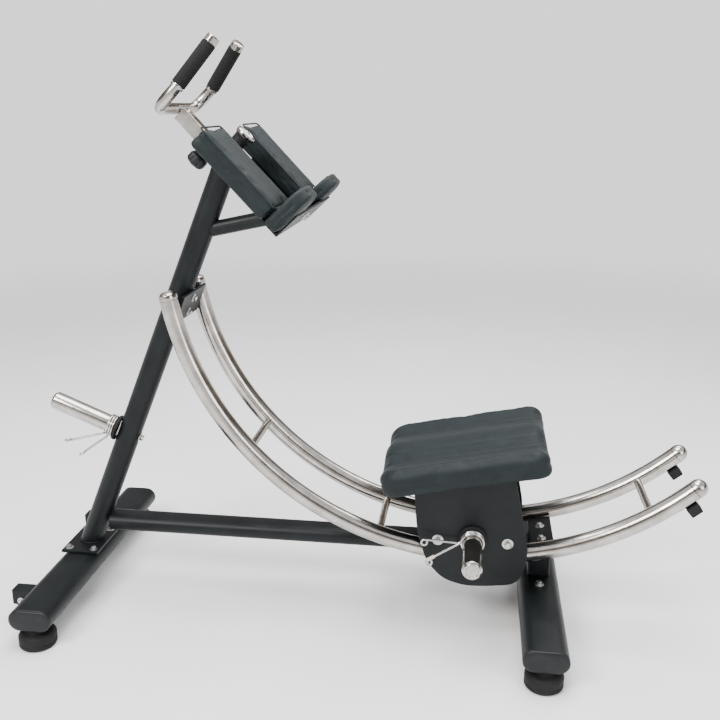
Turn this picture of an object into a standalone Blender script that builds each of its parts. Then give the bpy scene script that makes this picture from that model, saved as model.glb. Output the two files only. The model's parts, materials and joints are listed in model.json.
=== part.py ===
"""Ab crunch machine: a kneeling carriage rolls on two curved rails between a leaning post and a rear foot.

Frame: +X runs to the rear (away from the post), -Y is the near side, +Z is up, metres.
The origin is the bottom centre of the machine's bounding box.
"""
import math

import bmesh
import bpy
from mathutils import Matrix, Vector

for old_object in list(bpy.data.objects):
    bpy.data.objects.remove(old_object, do_unlink=True)

# ---------------------------------------------------------------- driving dimensions
GAP = 0.0003                  # clearance between pieces that touch
RAIL_RADIUS = 0.768           # centreline radius of both rails
RAIL_LOW_HEIGHT = 0.209       # height of the rails' centreline at its lowest point
RAIL_SPACING = 0.222          # between the rails' centrelines
RAIL_DIAMETER = 0.045
RAIL_FRONT_OVERRUN = 4.14     # how far the rails run on past the post, degrees
RAIL_REAR_ANGLE = 43.5        # from the lowest point up to the rear end, degrees
RUNG_DIAMETER = 0.020
RUNG_ANGLES = {"rung_front": -47.7, "rung_middle": -18.0, "rung_rear": 33.9}

FOOT_WIDTH = 0.108
FOOT_HEIGHT = 0.056
FOOT_HALF_LENGTH = 0.360
FOOT_WALL = 0.003
FOOT_CAP_THICKNESS = 0.008
FRONT_FOOT_REACH = 1.071      # from the rail centre forward to the front foot's middle
REAR_FOOT_REACH = 0.175       # from the rail centre back to the rear foot's middle
RUBBER_DIAMETER = 0.092
RUBBER_HEIGHT = 0.0535
RUBBER_INSET = 0.030          # from the tube's end in to the rubber foot's middle
RUBBER_NECK_RADIUS = 0.026
RUBBER_BAND_TOP = 0.030       # height of the straight rim, below the shoulder
CAP_SHANK_LENGTH = 0.022      # how far an end cap's plug reaches into its tube
CAP_ROUNDING = 0.003

BEAM_WIDTH = 0.072
BEAM_HEIGHT = 0.045
BEAM_CENTRE_HEIGHT = 0.184
BEAM_WALL = 0.003

POST_DIAMETER = 0.060
POST_WALL = 0.003
POST_LEAN = 22.7              # from the vertical, degrees
POST_REACH = 1.25             # along the axis, to beyond the sleeve that trims it
POST_BASE_OFFSET = 0.001      # the post's axis meets the front foot's middle plane here
BASE_PLATE_SIZE = (0.104, 0.150, 0.008)
UPRIGHT_SIZE = (0.057, 0.060)
UPRIGHT_EMBRACE = 0.020       # how far the upright would rise past the rails' lowest point, uncut
UPPER_BRACKET_SIZE = (0.078, 0.007)
UPPER_BRACKET_SHIFT = 0.0141  # up the post from where it passes between the rails
REAR_BRACKET_SIZE = (0.060, 0.006)
REAR_BRACKET_DROP = 0.010     # below the rails' centreline
BUMPER_SIZE = (0.030, 0.034, 0.026)
BUMPER_ANGLE = 40.6

HORN_DIAMETER = 0.048
HORN_FLANGE_DIAMETER = 0.070
HORN_FLANGE_THICKNESS = 0.010
COLLAR_DIAMETER = 0.058
COLLAR_LENGTH = 0.022
COLLAR_CLEARANCE = 0.0008
STORAGE_HORN_HEIGHT = 0.445
STORAGE_HORN_LENGTH = 0.196
CARRIAGE_HORN_LENGTH = 0.164
CARRIAGE_HORN_RISE = 0.058    # above the rails' lowest point

ARM_SLOPE = 47.0              # the arm rest falls this steeply towards the user, degrees
ARM_MEETING_HEIGHT = 1.1641   # where the post's axis meets the sleeve's axis
ARM_MEETING_STATION = 0.0529  # that point's distance down the sleeve from the pads' upper end
ARM_PAD_LENGTH = 0.2355
ARM_PAD_THICKNESS = 0.0485
ARM_PAD_INNER = 0.095
ARM_PAD_OUTER = 0.250
ELBOW_STOP_THICKNESS = 0.036
ELBOW_STOP_RISE = 0.068
ARM_PLATE_THICKNESS = 0.005
SLEEVE_SIZE = 0.045
SLEEVE_WALL = 0.004
SLEEVE_FRONT = -0.030
SLEEVE_REAR = 0.262
STEM_CLEARANCE = 0.0006
STEM_INSERTION = 0.100
SCREW_RADIUS = 0.005
ARM_PLATE_WIDTH = 0.440
ARM_FLANGE_TOP = 0.012        # the end flange rises this far above the pads' top face
BRACE_DIAMETER = 0.038
BRACE_HEIGHT = 1.004          # of the start of the brace's axis
BRACE_OFFSET = 0.041          # from the post's axis to that start, level
BRACE_RISE = 12.0             # degrees
BRACE_REACH = 0.25
KNOB_POSITION = 0.0
COUNTER_POSITION = 0.040
COUNTER_DIAMETER = 0.050
COUNTER_RISE = 0.012          # its face stands this far above the pads' top face

HANDLE_TUBE = 0.027
HANDLE_REACH = 0.118          # from the arm pads' upper end to the crossbar
GRIP_LOW = (-0.0020, 0.135, 0.0682)    # down the sleeve, across and up, from the crossbar's middle
GRIP_HIGH = (-0.0217, 0.107, 0.1863)
HANDLE_HALF_WIDTH = 0.143
HANDLE_BEND = 0.034
GRIP_THICKNESS = 0.0036

CARRIAGE_TILT = 11.5          # the knee pad and the side plates lean forward, degrees
CARRIAGE_PLATE_THICKNESS = 0.006
CARRIAGE_PLATE_OFFSET = 0.003     # gap from the rails' outer side
SIDE_PLATE_OUTLINE = (        # along and up the tilted pad, from the middle of its underside
    (-0.150, -GAP), (0.099, -GAP), (0.098, -0.215), (0.060, -0.290), (-0.020, -0.284),
    (-0.072, -0.276), (-0.124, -0.250), (-0.156, -0.196), (-0.164, -0.110))
DECK_LENGTH = 0.245
DECK_THICKNESS = 0.006
DECK_FORWARD = 0.026
PAD_BASE_RISE = 0.2095        # from the rails' lowest point up to the knee pad's underside
KNEE_PAD_LENGTH = 0.440
KNEE_PAD_WIDTH = 0.390
KNEE_PAD_EDGE = 0.050
KNEE_PAD_CROWN = 0.016
KNEE_PAD_FORWARD = 0.022      # pad centre ahead of the carriage's middle
ROLLER_SPREAD = 0.086
ROLLER_WIDTH = 0.036
UPPER_ROLLER_WAIST = 0.020
LOWER_ROLLER_WAIST = 0.013
ROLLER_RAIL_CLEARANCE = 0.0010
STUB_DIAMETER = 0.012
STUB_CLEARANCE = 0.0005

WHEEL_DIAMETER = 0.050
WHEEL_WIDTH = 0.024
WHEEL_STATION = 0.220         # of the transport wheels from the centre plane
WHEEL_CENTRE_HEIGHT = 0.055
WHEEL_REACH = 0.036           # from the foot's front side to the wheel's axle
BRACKET_WALL = 0.004
BRACKET_SKIRT = 0.012         # how far the fork's cheeks reach below the axle
BRACKET_CLEARANCE = 0.002
WHEEL_PIN_DIAMETER = 0.010

ROUND_SIDES = 20
RAIL_SIDES = 16

# ---------------------------------------------------------------- places worked out from them
BRACKET_FRONT_REACH = WHEEL_REACH + 0.024
REAR_EXTENT = RAIL_RADIUS * math.sin(math.radians(RAIL_REAR_ANGLE)) + RAIL_DIAMETER / 2
FRONT_EXTENT = FRONT_FOOT_REACH + FOOT_WIDTH / 2 + WHEEL_REACH + WHEEL_DIAMETER / 2
RAIL_X = (FRONT_EXTENT - REAR_EXTENT) / 2
RAIL_HEIGHT = RAIL_LOW_HEIGHT + RAIL_RADIUS
RAIL_CENTRE = Vector((RAIL_X, 0, RAIL_HEIGHT))
PAD_BASE_HEIGHT = RAIL_LOW_HEIGHT + PAD_BASE_RISE
FRONT_FOOT_X = RAIL_X - FRONT_FOOT_REACH
REAR_FOOT_X = RAIL_X + REAR_FOOT_REACH
FOOT_Z = RUBBER_HEIGHT + GAP + FOOT_HEIGHT / 2
FOOT_TOP = FOOT_Z + FOOT_HEIGHT / 2
RAIL_Y = RAIL_SPACING / 2
POST_DIRECTION = Vector((math.sin(math.radians(POST_LEAN)), 0, math.cos(math.radians(POST_LEAN))))
POST_REAR = Vector((POST_DIRECTION.z, 0, -POST_DIRECTION.x))
POST_ORIGIN = Vector((FRONT_FOOT_X + POST_BASE_OFFSET, 0, FOOT_TOP))
BRACKET_OFFSET = POST_DIAMETER / 2 + GAP + UPPER_BRACKET_SIZE[1] / 2
BRACKET_LINE = POST_ORIGIN + POST_REAR * BRACKET_OFFSET - RAIL_CENTRE
BRACKET_HALFWAY = -BRACKET_LINE.dot(POST_DIRECTION)
BRACKET_DEPTH = BRACKET_HALFWAY ** 2 + RAIL_RADIUS ** 2 - BRACKET_LINE.length_squared
RAIL_CROSSING = BRACKET_HALFWAY - math.sqrt(max(0.0, BRACKET_DEPTH))    # up the post to where the rails pass it
RAIL_CROSSING_POINT = BRACKET_LINE + POST_DIRECTION * RAIL_CROSSING
RAIL_FRONT_ANGLE = math.degrees(math.atan2(-RAIL_CROSSING_POINT.x, -RAIL_CROSSING_POINT.z)) + RAIL_FRONT_OVERRUN
ARM_DOWN = Vector((math.cos(math.radians(ARM_SLOPE)), 0, -math.sin(math.radians(ARM_SLOPE))))
ARM_UP = Vector((-ARM_DOWN.z, 0, ARM_DOWN.x))
SLEEVE_DEPTH = ARM_PAD_THICKNESS + ARM_PLATE_THICKNESS + 2 * GAP + SLEEVE_SIZE / 2
ARM_MEETING = POST_ORIGIN + POST_DIRECTION * ((ARM_MEETING_HEIGHT - POST_ORIGIN.z) / POST_DIRECTION.z)
ARM_ORIGIN = ARM_MEETING - ARM_DOWN * ARM_MEETING_STATION + ARM_UP * SLEEVE_DEPTH
PLATE_INNER = RAIL_Y + RAIL_DIAMETER / 2 + CARRIAGE_PLATE_OFFSET
PLATE_OUTER = PLATE_INNER + CARRIAGE_PLATE_THICKNESS
TILT = math.radians(CARRIAGE_TILT)
SIDES = {"near": -1, "far": 1}


# ---------------------------------------------------------------- materials
def make_material(name, colour, roughness, metallic):
    material = bpy.data.materials.new(name)
    material.use_nodes = True
    shader = material.node_tree.nodes["Principled BSDF"]
    shader.inputs["Base Color"].default_value = (*colour, 1)
    shader.inputs["Roughness"].default_value = roughness
    shader.inputs["Metallic"].default_value = metallic
    return material


BLACK_PAINT = make_material("black_paint", (0.022, 0.026, 0.028), 0.45, 0.0)
CHROME = make_material("chrome", (0.62, 0.60, 0.58), 0.18, 1.0)
RUBBER = make_material("rubber", (0.015, 0.015, 0.015), 0.75, 0.0)
VINYL = make_material("vinyl", (0.025, 0.034, 0.038), 0.5, 0.0)
PLASTIC = make_material("plastic", (0.02, 0.02, 0.022), 0.5, 0.0)


# ---------------------------------------------------------------- mesh helpers
def place(name, bm, material, origin=(0, 0, 0), parent=None, smooth_angle=35.0):
    """Make an object whose origin is a world point from a mesh given in world coordinates."""
    origin = Vector(origin)
    bmesh.ops.recalc_face_normals(bm, faces=bm.faces)
    bmesh.ops.translate(bm, verts=bm.verts, vec=-origin)
    mesh = bpy.data.meshes.new(name)
    bm.to_mesh(mesh)
    bm.free()
    mesh.shade_smooth()
    mesh.set_sharp_from_angle(angle=math.radians(smooth_angle))
    mesh.materials.append(material)
    item = bpy.data.objects.new(name, mesh)
    bpy.context.collection.objects.link(item)
    item.location = origin
    if parent is not None:
        item.parent = parent
        item.location = origin - parent.location
    return item


def modify(item, operation, tool_bm):
    """Apply an exact Boolean to an object with a tool mesh given in world coordinates."""
    tool = place(item.name + "_tool", tool_bm, BLACK_PAINT)
    tool.hide_render = True
    tool.display_type = "WIRE"
    bpy.context.view_layer.update()
    cut = item.modifiers.new(operation.lower(), "BOOLEAN")
    cut.operation = operation
    cut.object = tool
    cut.solver = "EXACT"
    return item


def box(size, centre, along=(1, 0, 0), up=(0, 0, 1), bevel=0.0, segments=2):
    """A box of size (along, across, up), turned so that its first side runs along a direction."""
    bm = bmesh.new()
    bmesh.ops.create_cube(bm, size=1.0)
    bmesh.ops.scale(bm, verts=bm.verts, vec=size)
    if bevel > 0:
        bmesh.ops.bevel(bm, geom=bm.edges[:], offset=bevel, segments=segments, affect="EDGES", profile=0.5)
    turn(bm, along, up, centre)
    return bm


def turn(bm, along, up, centre):
    """Carry a mesh from its own X and Z directions to the given ones, around a centre."""
    along = Vector(along).normalized()
    across = Vector(up).cross(along).normalized()
    up = along.cross(across)
    frame = Matrix((along, across, up)).transposed().to_4x4()
    bmesh.ops.transform(bm, matrix=Matrix.Translation(Vector(centre)) @ frame, verts=bm.verts)


def turned(profile, centre, axis, sides=ROUND_SIDES):
    """Turn a closed profile of (along, radius) points around an axis through a centre."""
    bm = bmesh.new()
    rings = []
    for station, radius in profile:
        if radius == 0:
            rings.append([bm.verts.new((station, 0, 0))])
            continue
        ring = []
        for side in range(sides):
            angle = math.tau * side / sides
            ring.append(bm.verts.new((station, radius * math.cos(angle), radius * math.sin(angle))))
        rings.append(ring)
    closed = profile[0][1] > 0
    pairs = list(zip(rings, rings[1:]))
    if closed:
        pairs.append((rings[-1], rings[0]))
    for first, second in pairs:
        for side in range(sides):
            after = (side + 1) % sides
            corners = [first[side % len(first)], first[after % len(first)],
                       second[after % len(second)], second[side % len(second)]]
            bm.faces.new(list(dict.fromkeys(corners)))
    helper = (0, 0, 1) if abs(Vector(axis).normalized().z) < 0.9 else (1, 0, 0)
    turn(bm, axis, helper, centre)
    return bm


def rod(radius, start, end, chamfer=0.001, sides=ROUND_SIDES, bore=0.0):
    """A round bar or, with a bore radius, a tube between two points, its ends lightly chamfered."""
    start = Vector(start)
    length = (Vector(end) - start).length
    profile = [(chamfer, radius), (length - chamfer, radius), (length, radius - chamfer)]
    if bore > 0:
        profile += [(length, bore), (0, bore), (0, radius - chamfer)]
    else:
        profile = [(0, 0), (0, radius - chamfer)] + profile + [(length, 0)]
    return turned(profile, start, Vector(end) - start, sides)


def swept(points, radius, sides=ROUND_SIDES, dome=True):
    """A round bar along a smooth row of points, with domed ends."""
    points = [Vector(point) for point in points]
    tangents = []
    for index in range(len(points)):
        before = points[max(index - 1, 0)]
        after = points[min(index + 1, len(points) - 1)]
        tangents.append((after - before).normalized())
    stations = []
    dome_steps = (0.0, 0.5, 0.85) if dome else (1.0,)
    for sine in dome_steps:
        reach = 1 - math.sqrt(1 - sine * sine) if dome else 0
        stations.append((points[0] + tangents[0] * radius * (reach - 1) * dome, tangents[0], radius * sine))
    stations += [(point, tangent, radius) for point, tangent in zip(points, tangents)]
    for sine in reversed(dome_steps):
        reach = 1 - math.sqrt(1 - sine * sine) if dome else 0
        stations.append((points[-1] - tangents[-1] * radius * (reach - 1) * dome, tangents[-1], radius * sine))
    if not dome:
        stations = stations[1:-1]
    bm = bmesh.new()
    normal = tangents[0].orthogonal().normalized()
    previous = tangents[0]
    rings = []
    for centre, tangent, size in stations:
        normal.rotate(previous.rotation_difference(tangent))
        previous = tangent
        binormal = tangent.cross(normal)
        if size == 0:
            rings.append([bm.verts.new(centre)])
            continue
        ring = []
        for side in range(sides):
            angle = math.tau * side / sides
            ring.append(bm.verts.new(centre + size * (normal * math.cos(angle) + binormal * math.sin(angle))))
        rings.append(ring)
    for first, second in zip(rings, rings[1:]):
        for side in range(sides):
            after = (side + 1) % sides
            corners = [first[side % len(first)], first[after % len(first)],
                       second[after % len(second)], second[side % len(second)]]
            bm.faces.new(list(dict.fromkeys(corners)))
    if not dome:
        bm.faces.new(rings[0])
        bm.faces.new(rings[-1])
    return bm


def oval_outline(width, height, steps=8):
    """A flat oval: two half circles joined by straight sides."""
    radius = height / 2
    reach = width / 2 - radius
    points = []
    for index in range(steps + 1):
        angle = -math.pi / 2 + math.pi * index / steps
        points.append((reach + radius * math.cos(angle), radius * math.sin(angle)))
    return points + [(-x, -y) for x, y in points]


def extruded(outline, depth, centre, along, up):
    """Extrude a flat outline, drawn across and up, equally to both sides of a centre."""
    bm = bmesh.new()
    first = [bm.verts.new((-depth / 2, x, y)) for x, y in outline]
    second = [bm.verts.new((depth / 2, x, y)) for x, y in outline]
    bm.faces.new(first)
    bm.faces.new(second)
    count = len(outline)
    for index in range(count):
        after = (index + 1) % count
        bm.faces.new((first[index], first[after], second[after], second[index]))
    turn(bm, along, up, centre)
    return bm


def oval_tube(name, width, height, wall, start, end):
    """A hollow flat-oval tube in black paint with its wide side level."""
    start, end = Vector(start), Vector(end)
    length = (end - start).length
    outer = extruded(oval_outline(width, height), length, (start + end) / 2, end - start, (0, 0, 1))
    inner = extruded(oval_outline(width - 2 * wall, height - 2 * wall), length + 0.01,
                     (start + end) / 2, end - start, (0, 0, 1))
    tube = place(name, outer, BLACK_PAINT)
    return modify(tube, "DIFFERENCE", inner)


def rail_point(angle, side=0, radius=RAIL_RADIUS):
    """A point on a rail's arc; the angle is from the lowest point, positive to the rear."""
    turn_angle = math.radians(angle)
    return RAIL_CENTRE + Vector((radius * math.sin(turn_angle), side * RAIL_Y, -radius * math.cos(turn_angle)))


def arm_point(down, up, across=0.0):
    """A point in the arm rest's own directions, from the upper end of the pads' top face."""
    return ARM_ORIGIN + ARM_DOWN * down + ARM_UP * up + Vector((0, across, 0))


def tilted_point(along, up, across=0.0):
    """A point in the carriage's tilted directions, from the middle of the knee pad's underside."""
    return Vector((RAIL_X + along * math.cos(TILT) - up * math.sin(TILT), across,
                   PAD_BASE_HEIGHT + along * math.sin(TILT) + up * math.cos(TILT)))


TILTED_ALONG = (math.cos(TILT), 0, math.sin(TILT))
TILTED_UP = (-math.sin(TILT), 0, math.cos(TILT))


# ---------------------------------------------------------------- feet and floor contact
def foot(name, middle):
    """A cross tube with its two end caps and two rubber feet."""
    oval_tube(name, FOOT_WIDTH, FOOT_HEIGHT, FOOT_WALL,
              (middle, -FOOT_HALF_LENGTH, FOOT_Z), (middle, FOOT_HALF_LENGTH, FOOT_Z))
    for side_name, side in SIDES.items():
        end = side * FOOT_HALF_LENGTH
        lip_centre = (middle, end + side * (GAP + FOOT_CAP_THICKNESS / 2), FOOT_Z)
        lip = extruded(oval_outline(FOOT_WIDTH, FOOT_HEIGHT), FOOT_CAP_THICKNESS, lip_centre, (0, side, 0), (0, 0, 1))
        outer_edges = [edge for edge in lip.edges
                       if all(abs(v.co.y) > abs(end) + FOOT_CAP_THICKNESS / 2 for v in edge.verts)]
        bmesh.ops.bevel(lip, geom=outer_edges, offset=CAP_ROUNDING, segments=2, affect="EDGES")
        cap = place(f"{name}_cap_{side_name}", lip, PLASTIC)
        inset = 2 * (FOOT_WALL + GAP)
        shank = extruded(oval_outline(FOOT_WIDTH - inset, FOOT_HEIGHT - inset), CAP_SHANK_LENGTH,
                         (middle, end + side * (GAP + 0.001 - CAP_SHANK_LENGTH / 2), FOOT_Z), (0, side, 0), (0, 0, 1))
        modify(cap, "UNION", shank)
        radius = RUBBER_DIAMETER / 2
        neck = RUBBER_NECK_RADIUS
        profile = [(0, 0), (0, radius - 0.006), (0.005, radius), (RUBBER_BAND_TOP, radius),
                   (RUBBER_BAND_TOP + 0.006, radius - 0.005), (RUBBER_BAND_TOP + 0.011, neck),
                   (RUBBER_HEIGHT, neck), (RUBBER_HEIGHT, 0)]
        place(f"rubber_{name}_{side_name}", turned(profile, (middle, side * (FOOT_HALF_LENGTH - RUBBER_INSET), 0),
                                                   (0, 0, 1)), RUBBER)


foot("front_foot", FRONT_FOOT_X)
foot("rear_foot", REAR_FOOT_X)


# ---------------------------------------------------------------- transport wheels
def transport_wheel(side_name, side):
    """A forked bracket ahead of the front foot, with a wheel on its pin."""
    station = side * WHEEL_STATION
    foot_front = FRONT_FOOT_X - FOOT_WIDTH / 2
    axle = Vector((foot_front - WHEEL_REACH, station, WHEEL_CENTRE_HEIGHT))
    width = WHEEL_WIDTH + 2 * (BRACKET_WALL + BRACKET_CLEARANCE)
    back = foot_front - GAP
    front = foot_front - BRACKET_FRONT_REACH
    height = BRACKET_SKIRT + WHEEL_DIAMETER / 2 + BRACKET_CLEARANCE + BRACKET_WALL
    floor_height = WHEEL_CENTRE_HEIGHT - BRACKET_SKIRT
    body = box((back - front, width, height), ((back + front) / 2, station, floor_height + height / 2), bevel=0.003)
    bracket = place(f"wheel_bracket_{side_name}", body, BLACK_PAINT)
    slot_width = WHEEL_WIDTH + 2 * BRACKET_CLEARANCE
    slot_back = back - 0.004
    slot_front = front - 0.02
    slot_top = floor_height + height - BRACKET_WALL
    modify(bracket, "DIFFERENCE", box((slot_back - slot_front, slot_width, slot_top),
                                      ((slot_back + slot_front) / 2, station, slot_top / 2)))
    half_pin = width / 2 - 0.001
    modify(bracket, "UNION", rod(WHEEL_PIN_DIAMETER / 2, axle - Vector((0, half_pin, 0)),
                                 axle + Vector((0, half_pin, 0)), chamfer=0.0005, sides=16))
    radius = WHEEL_DIAMETER / 2
    hub = WHEEL_PIN_DIAMETER / 2 + STUB_CLEARANCE
    half = WHEEL_WIDTH / 2
    profile = [(-half + 0.002, hub), (-half + 0.002, radius - 0.008), (-half, radius - 0.006),
               (-half + 0.003, radius), (half - 0.003, radius), (half, radius - 0.006),
               (half - 0.002, radius - 0.008), (half - 0.002, hub)]
    place(f"transport_wheel_{side_name}", turned(profile, axle, (0, 1, 0)), RUBBER, origin=axle)


for wheel_side_name, wheel_side in SIDES.items():
    transport_wheel(wheel_side_name, wheel_side)


# ---------------------------------------------------------------- post, beam and rear upright
def post_point(distance, offset=0.0, across=0.0):
    """A point at a distance up the post's axis, moved out of its rear side by an offset."""
    return POST_ORIGIN + POST_DIRECTION * distance + POST_REAR * offset + Vector((0, across, 0))


def make_post():
    radius = POST_DIAMETER / 2
    bm = rod(radius, post_point(-0.06), post_point(POST_REACH), bore=radius - POST_WALL, sides=20)
    post = place("post", bm, BLACK_PAINT)
    below = box((0.4, 0.4, 0.4), (FRONT_FOOT_X, 0, FOOT_TOP + BASE_PLATE_SIZE[2] + 2 * GAP - 0.2))
    modify(post, "DIFFERENCE", below)
    beyond = SLEEVE_DEPTH + SLEEVE_SIZE / 2 + GAP
    block = 0.5
    modify(post, "DIFFERENCE", box((1.2, block, block), arm_point(0, -beyond + block / 2), along=ARM_DOWN, up=ARM_UP))


def make_front_joint():
    centre = (FRONT_FOOT_X, 0, FOOT_TOP + GAP + BASE_PLATE_SIZE[2] / 2)
    place("post_base_plate", box(BASE_PLATE_SIZE, centre, bevel=0.002), BLACK_PAINT)


def make_beam_and_upright():
    beam_top = BEAM_CENTRE_HEIGHT + BEAM_HEIGHT / 2
    axis_x = POST_ORIGIN.x + (beam_top - POST_ORIGIN.z) * math.tan(math.radians(POST_LEAN))
    start = axis_x + POST_DIAMETER / 2 / math.cos(math.radians(POST_LEAN)) + 2 * GAP
    end = REAR_FOOT_X - UPRIGHT_SIZE[0] / 2 - GAP
    oval_tube("main_beam", BEAM_WIDTH, BEAM_HEIGHT, BEAM_WALL,
              (start, 0, BEAM_CENTRE_HEIGHT), (end, 0, BEAM_CENTRE_HEIGHT))
    base = FOOT_TOP + GAP
    top = RAIL_HEIGHT - RAIL_RADIUS + UPRIGHT_EMBRACE
    size = (UPRIGHT_SIZE[0], UPRIGHT_SIZE[1], top - base)
    upright = place("rear_upright", box(size, (REAR_FOOT_X, 0, (top + base) / 2), bevel=0.004), BLACK_PAINT)
    angle = math.degrees(math.asin(REAR_FOOT_REACH / RAIL_RADIUS))
    tangent = Vector((math.cos(math.radians(angle)), 0, math.sin(math.radians(angle))))
    inward = Vector((-tangent.z, 0, tangent.x))
    centre = rail_point(angle, 0, RAIL_RADIUS + REAR_BRACKET_DROP)
    width = RAIL_SPACING - RAIL_DIAMETER - 4 * GAP
    length, thickness = REAR_BRACKET_SIZE
    place("rear_bracket_plate", box((length, width, thickness), centre, along=tangent, up=inward, bevel=0.0015),
          BLACK_PAINT)
    block = 0.2
    above = centre + inward * (block / 2 - thickness / 2 - GAP)
    modify(upright, "DIFFERENCE", box((block, block, block), above, along=tangent, up=inward))


make_post()
make_front_joint()
make_beam_and_upright()


# ---------------------------------------------------------------- rails, rungs and stops
def make_rails():
    steps = 32
    for side_name, side in SIDES.items():
        points = []
        for index in range(steps + 1):
            angle = -RAIL_FRONT_ANGLE + (RAIL_FRONT_ANGLE + RAIL_REAR_ANGLE) * index / steps
            points.append(rail_point(angle, side))
        place(f"rail_{side_name}", swept(points, RAIL_DIAMETER / 2, RAIL_SIDES), CHROME)
        bumper_centre = rail_point(BUMPER_ANGLE, side, RAIL_RADIUS + RAIL_DIAMETER / 2 + GAP + BUMPER_SIZE[2] / 2)
        tangent = Vector((math.cos(math.radians(BUMPER_ANGLE)), 0, math.sin(math.radians(BUMPER_ANGLE))))
        place(f"rail_bumper_{side_name}", box(BUMPER_SIZE, bumper_centre, along=tangent,
                                              up=(-tangent.z, 0, tangent.x), bevel=0.003), RUBBER)


def make_rungs():
    half = RAIL_Y - RAIL_DIAMETER / 2 - 2 * GAP
    for name, angle in RUNG_ANGLES.items():
        middle = rail_point(angle)
        ends = [middle + Vector((0, side * half, 0)) for side in (-1, 1)]
        place(name, rod(RUNG_DIAMETER / 2, *ends, sides=16), CHROME)


def make_upper_bracket():
    length, thickness = UPPER_BRACKET_SIZE
    distance = RAIL_CROSSING + UPPER_BRACKET_SHIFT
    width = RAIL_SPACING - RAIL_DIAMETER - 4 * GAP
    place("upper_bracket", box((length, width, thickness), post_point(distance, BRACKET_OFFSET),
                               along=POST_DIRECTION, up=POST_REAR, bevel=0.0015), BLACK_PAINT)


make_rails()
make_rungs()
make_upper_bracket()


# ---------------------------------------------------------------- weight horns
def weight_horn(name, base, direction, length, parent=None):
    """A chrome plate sleeve with its rubber flange and its spring collar."""
    direction = Vector(direction).normalized()
    base = Vector(base)
    radius = HORN_DIAMETER / 2
    place(name, rod(radius, base + direction * GAP, base + direction * length, chamfer=0.003), CHROME,
          parent=parent)
    flange_start = base + direction * 2 * GAP
    place(f"{name}_flange", rod(HORN_FLANGE_DIAMETER / 2, flange_start,
                                flange_start + direction * HORN_FLANGE_THICKNESS,
                                chamfer=0.002, bore=radius + GAP), RUBBER, parent=parent)
    collar_start = flange_start + direction * (HORN_FLANGE_THICKNESS + 2 * GAP)
    place(f"{name}_collar", rod(COLLAR_DIAMETER / 2, collar_start, collar_start + direction * COLLAR_LENGTH,
                                chamfer=0.002, bore=radius + COLLAR_CLEARANCE), CHROME,
          origin=collar_start, parent=parent)


storage_distance = (STORAGE_HORN_HEIGHT - POST_ORIGIN.z) / POST_DIRECTION.z
weight_horn("storage_horn", post_point(storage_distance, -POST_DIAMETER / 2 - GAP), -POST_REAR,
            STORAGE_HORN_LENGTH)


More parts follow.
